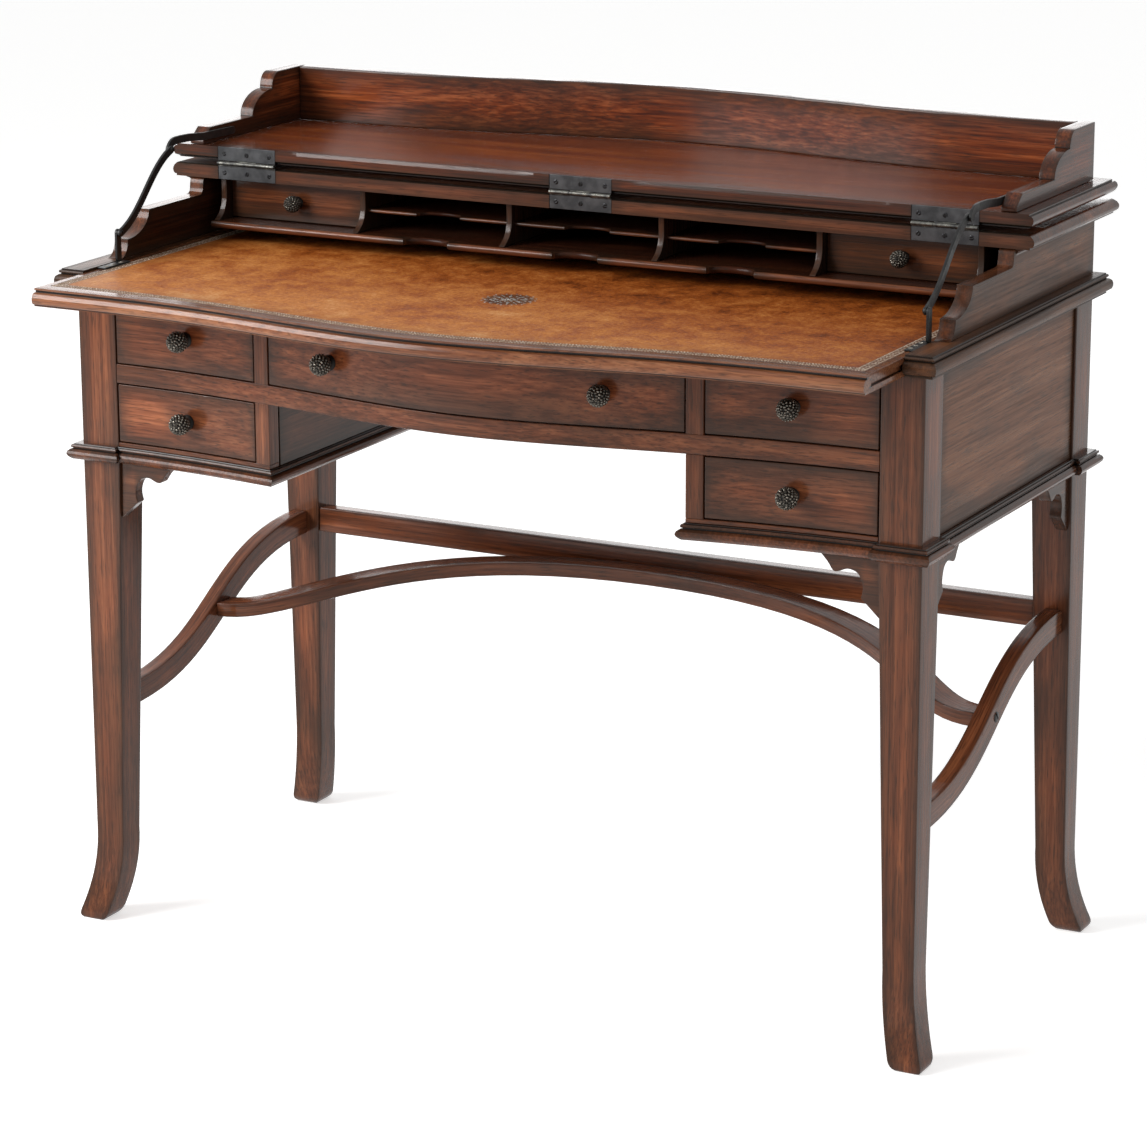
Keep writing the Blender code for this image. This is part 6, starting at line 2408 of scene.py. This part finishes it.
@dataclass
class Stays:
    """Iron stays: a strap on the lid, a post on the slide and a curved bar between them."""

    width: float = 0.009
    thick: float = 0.0032
    strap_x: float = 0.4965
    bar_x: float = 0.4929
    corner: Point = (0.1736, 0.891)
    heel: Point = (0.0544, 0.804)
    tail: float = 0.013
    sway: float = 0.014
    strap_rear: Point = (0.3, 0.8865)
    strap_dip: float = 0.003
    strap_run: float = 0.03
    board_edge: float = 0.2358
    plate_long: float = 0.05
    plate_wide: float = 0.0115
    plate_thick: float = 0.002
    plate_rear: float = 0.0634
    slide_top: float = 0.7693
    rivet: float = 0.0038
    rivet_rise: float = 0.0014
    rivet_spin: float = 0.4
    screw: float = 0.0026
    screw_rise: float = 0.0007
    screw_line: float = 0.66
    screw_places: Triple = (0.008, 0.022, 0.036)
    screw_twist: float = 90

    def ribbon(self, line: Ring) -> Ring:
        """Outline of a flat bar of even width, with round ends.

        Args:
            line: points along its middle.

        Returns:
            The outline.
        """
        left, right = [], []
        for here, point in enumerate(line):
            along = tangent(line, here).normalized()
            across = Vector((-along.y, along.x)) * self.width / 2
            left.append(point + across)
            right.append(point - across)
        ends = []
        for tip, before in ((line[-1], line[-2]), (line[0], line[1])):
            way = (tip - before).normalized() * self.width / 2
            side = Vector((-way.y, way.x))
            turns = [math.radians(angle) for angle in (60, 30, 0, -30, -60)]
            ends.append([tip + way * math.cos(turn) + side * math.sin(turn) for turn in turns])
        return left + ends[0] + right[::-1] + ends[1]

    def lines(self) -> tuple[Ring, Ring, Ring]:
        """Middle lines of the iron.

        Returns:
            Those of the strap, the bar and the post.
        """
        corner, heel = Vector(self.corner), Vector(self.heel)
        lean = (heel - corner).normalized()
        lap = corner + lean * self.tail
        strap = [Vector(self.strap_rear), Vector((self.board_edge, self.corner[1] - self.strap_dip))]
        strap += smooth((Vector((self.board_edge - self.strap_run, self.corner[1])), corner, lap), 5)
        sway = Vector((-lean.y, lean.x)) * self.sway
        third = (lap - heel) / 3
        bar = bezier((heel, heel + third + sway, lap - third - sway, lap), 24)
        foot = self.slide_top + self.plate_thick / 2 + self.width / 2
        return strap, bar, [Vector((heel.x, foot)), heel]

    def bar(self, line: Ring, side: Side, outer: float, run: Grain = Grain.DEEP) -> Stock:
        """A worked flat bar along a line, its outer face at a distance from the middle of the desk."""
        return worked(sawn(self.ribbon(line), side, outer - self.thick, outer), run, IRON_EASE)

    def dress(self) -> None:
        """Places both stays."""
        strap, bar, post = self.lines()
        rivet = screw_head("stay_rivet", self.rivet, self.rivet_rise)
        screw = screw_head("plate_screw", self.screw, self.screw_rise)
        top = self.slide_top + self.plate_thick
        front = self.plate_rear - self.plate_long
        for side in Side:
            node = f"stay_strap_{side.label}"
            fit(node, [self.bar(strap, side, self.strap_x)], IRON, "lid", Slot.IRON, "_iron")
            inward = Vector((-side.value, 0, 0))
            inner = side.value * (self.bar_x - self.thick)
            spots = [(Vector((inner, *end)), inward, self.rivet_spin) for end in (bar[0], bar[-1])]
            iron = finished(joined("bar", [self.bar(bar, side, self.bar_x)]), IRON)
            node = f"stay_bar_{side.label}"
            mesh = merged(node + "_iron", [iron, STAMPED.mesh(spots, rivet, 1.0, IRON)])
            place(node + "_iron", mesh, Slot.IRON, f"stay_{side.label}", [node])
            left, right = side.span(self.strap_x - self.plate_wide, self.strap_x)
            plate = block((left, front, self.slide_top), (right, self.plate_rear, top))
            upright = self.bar(post, side, self.strap_x, Grain.UPRIGHT)
            stocks = [upright, worked(plate, Grain.DEEP, IRON_EASE)]
            across = side.value * (self.strap_x - self.plate_wide * self.screw_line)
            spots = [
                (Vector((across, front + along, top)), UP, along * self.screw_twist)
                for along in self.screw_places
            ]
            iron = finished(joined("post", stocks), IRON)
            node = f"stay_post_{side.label}"
            mesh = merged(node + "_iron", [iron, STAMPED.mesh(spots, screw, 1.0, SCREW_STEEL)])
            place(node + "_iron", mesh, Slot.IRON, "slide", [node])


@dataclass(frozen=True)
class Lamp:
    """A soft box: its power in watts, its sides, where it hangs and what it is aimed at."""

    name: str
    watts: float
    wide: float
    tall: float
    spot: Triple
    target: Triple

    def hang(self) -> None:
        """Hangs the lamp in the scene."""
        data = bpy.data.lights.new(self.name, "AREA")
        data.energy = self.watts
        data.shape = "RECTANGLE"
        data.size = self.wide
        data.size_y = self.tall
        item = bpy.data.objects.new(self.name, data)
        item.location = Vector(self.spot) + Vector(SHIFT)
        aim = Vector(self.target) - Vector(self.spot)
        item.rotation_euler = aim.to_track_quat("-Z", "Y").to_euler()
        bpy.context.scene.collection.objects.link(item)


@dataclass
class Studio:
    """Pale floor, soft light and the camera at the photograph's angle."""

    yaw: float = 27.609
    pitch: float = 15.2735
    roll: float = -0.175
    spot: Triple = (2.00836, -3.62316, 1.60964)
    focal_px: float = 3959.38
    picture_px: float = 1147.0
    sensor: float = 36.0
    clip: float = 200.0
    floor_half: float = 30.0
    floor_tint: str = "#F6F6F5"
    floor_glow: float = 0.58
    floor_rough: float = 0.9
    floor_sheen: float = 0.1
    sky: float = 0.4
    white: str = "#FFFFFF"
    lamps: tuple[Lamp, ...] = (
        Lamp("key", 132.0, 1.8, 1.8, (-2.3, -2.1, 2.2), (-0.1, 0.1, 0.55)),
        Lamp("rim", 16.0, 2.8, 0.9, (-1.8, 3.6, 1.15), (0.0, 0.2, 0.4)),
        Lamp("fill", 6.0, 1.6, 1.6, (3.2, -0.9, 0.7), (0.2, 0.0, 0.35)),
    )

    def camera(self) -> None:
        """Sets the camera where the photograph was taken from."""
        yaw, pitch = math.radians(self.yaw), math.radians(self.pitch)
        level_ahead = math.cos(pitch)
        ahead = Vector((-math.sin(yaw) * level_ahead, math.cos(yaw) * level_ahead, -math.sin(pitch)))
        right = Vector((math.cos(yaw), math.sin(yaw), 0))
        turn = Matrix((right, right.cross(ahead), -ahead)).transposed()
        turn = turn @ Matrix.Rotation(math.radians(self.roll), 3, "Z")
        data = bpy.data.cameras.new("camera")
        data.sensor_width = self.sensor
        data.lens = self.sensor * self.focal_px / self.picture_px
        data.clip_end = self.clip
        item = bpy.data.objects.new("camera", data)
        item.matrix_world = Matrix.Translation(Vector(self.spot) + Vector(SHIFT)) @ turn.to_4x4()
        bpy.context.scene.collection.objects.link(item)
        bpy.context.scene.camera = item

    def glow(self, tree: Tree, lit: float, seen: float) -> Socket:
        """Adds the nodes for a strength that is one thing to the eye and another as a light.

        Args:
            tree: the tree to add to.
            lit: strength for the rays that carry its light.
            seen: strength where the camera sees it, straight, in a gloss or through glass.

        Returns:
            The strength's socket.
        """
        path = add_node(tree, "ShaderNodeLightPath", 0).node.outputs
        eye = path["Is Camera Ray"]
        for ray in ("Is Glossy Ray", "Is Transmission Ray"):
            eye = add_node(tree, "ShaderNodeMath", 0, (eye, path[ray]), operation="MAXIMUM")
        return add_node(tree, "ShaderNodeMapRange", "Result", (eye, 0.0, 1.0, lit, seen))

    def floor(self) -> None:
        """Lays a pale seamless floor that keeps the desk's shadow."""
        half = self.floor_half
        corners = [(-half, -half, 0), (half, -half, 0), (half, half, 0), (-half, half, 0)]
        mesh = bpy.data.meshes.new("floor")
        mesh.from_pydata(corners, [], [(0, 1, 2, 3)])
        # White paper: nearly shadowless but for a soft grey under the desk
        made = bpy.data.materials.new("pale_paper_floor")
        made.use_nodes = True
        tree = made.node_tree
        feed(tree, tree.nodes["Principled BSDF"], {
            "Emission Strength": self.glow(tree, 0.0, self.floor_glow),
            "Emission Color": colour(self.white),
            "Base Color": colour(self.floor_tint), "Roughness": self.floor_rough,
            "Specular IOR Level": self.floor_sheen,
        })
        mesh.materials.append(made)
        item = bpy.data.objects.new("floor", mesh)
        bpy.context.scene.collection.objects.link(item)

    def light(self) -> None:
        """Sets a pale sky, a broad lamp from the front left and weak ones behind and to the right."""
        world = bpy.data.worlds.new("studio")
        world.use_nodes = True
        bpy.context.scene.world = world
        tree = world.node_tree
        tree.nodes.clear()
        values = {"Color": colour(self.white), "Strength": self.glow(tree, self.sky, 1.0)}
        sky = add_node(tree, "ShaderNodeBackground", "Background", values)
        feed(tree, tree.nodes.new("ShaderNodeOutputWorld"), {"Surface": sky})
        for lamp in self.lamps:
            lamp.hang()

    def dress(self) -> None:
        """Sets the stage."""
        bpy.context.scene.view_settings.view_transform = "Standard"
        self.floor()
        self.light()
        self.camera()


def main() -> None:
    """Builds the desk's sub-assemblies in order, then the studio."""
    logging.basicConfig(level=logging.INFO, format="%(name)s %(message)s")
    for assembly in (
        Legs(), Case(), Pedestals(), Stretchers(), Drawers(), SideBoards(), WritingSlide(), UpperCase(),
        Pigeonholes(), Lid(), Hinges(), Stays(), Studio(),
    ):
        LOG.info("%s", type(assembly).__name__)
        assembly.dress()


if __name__ == "__main__":
    main()
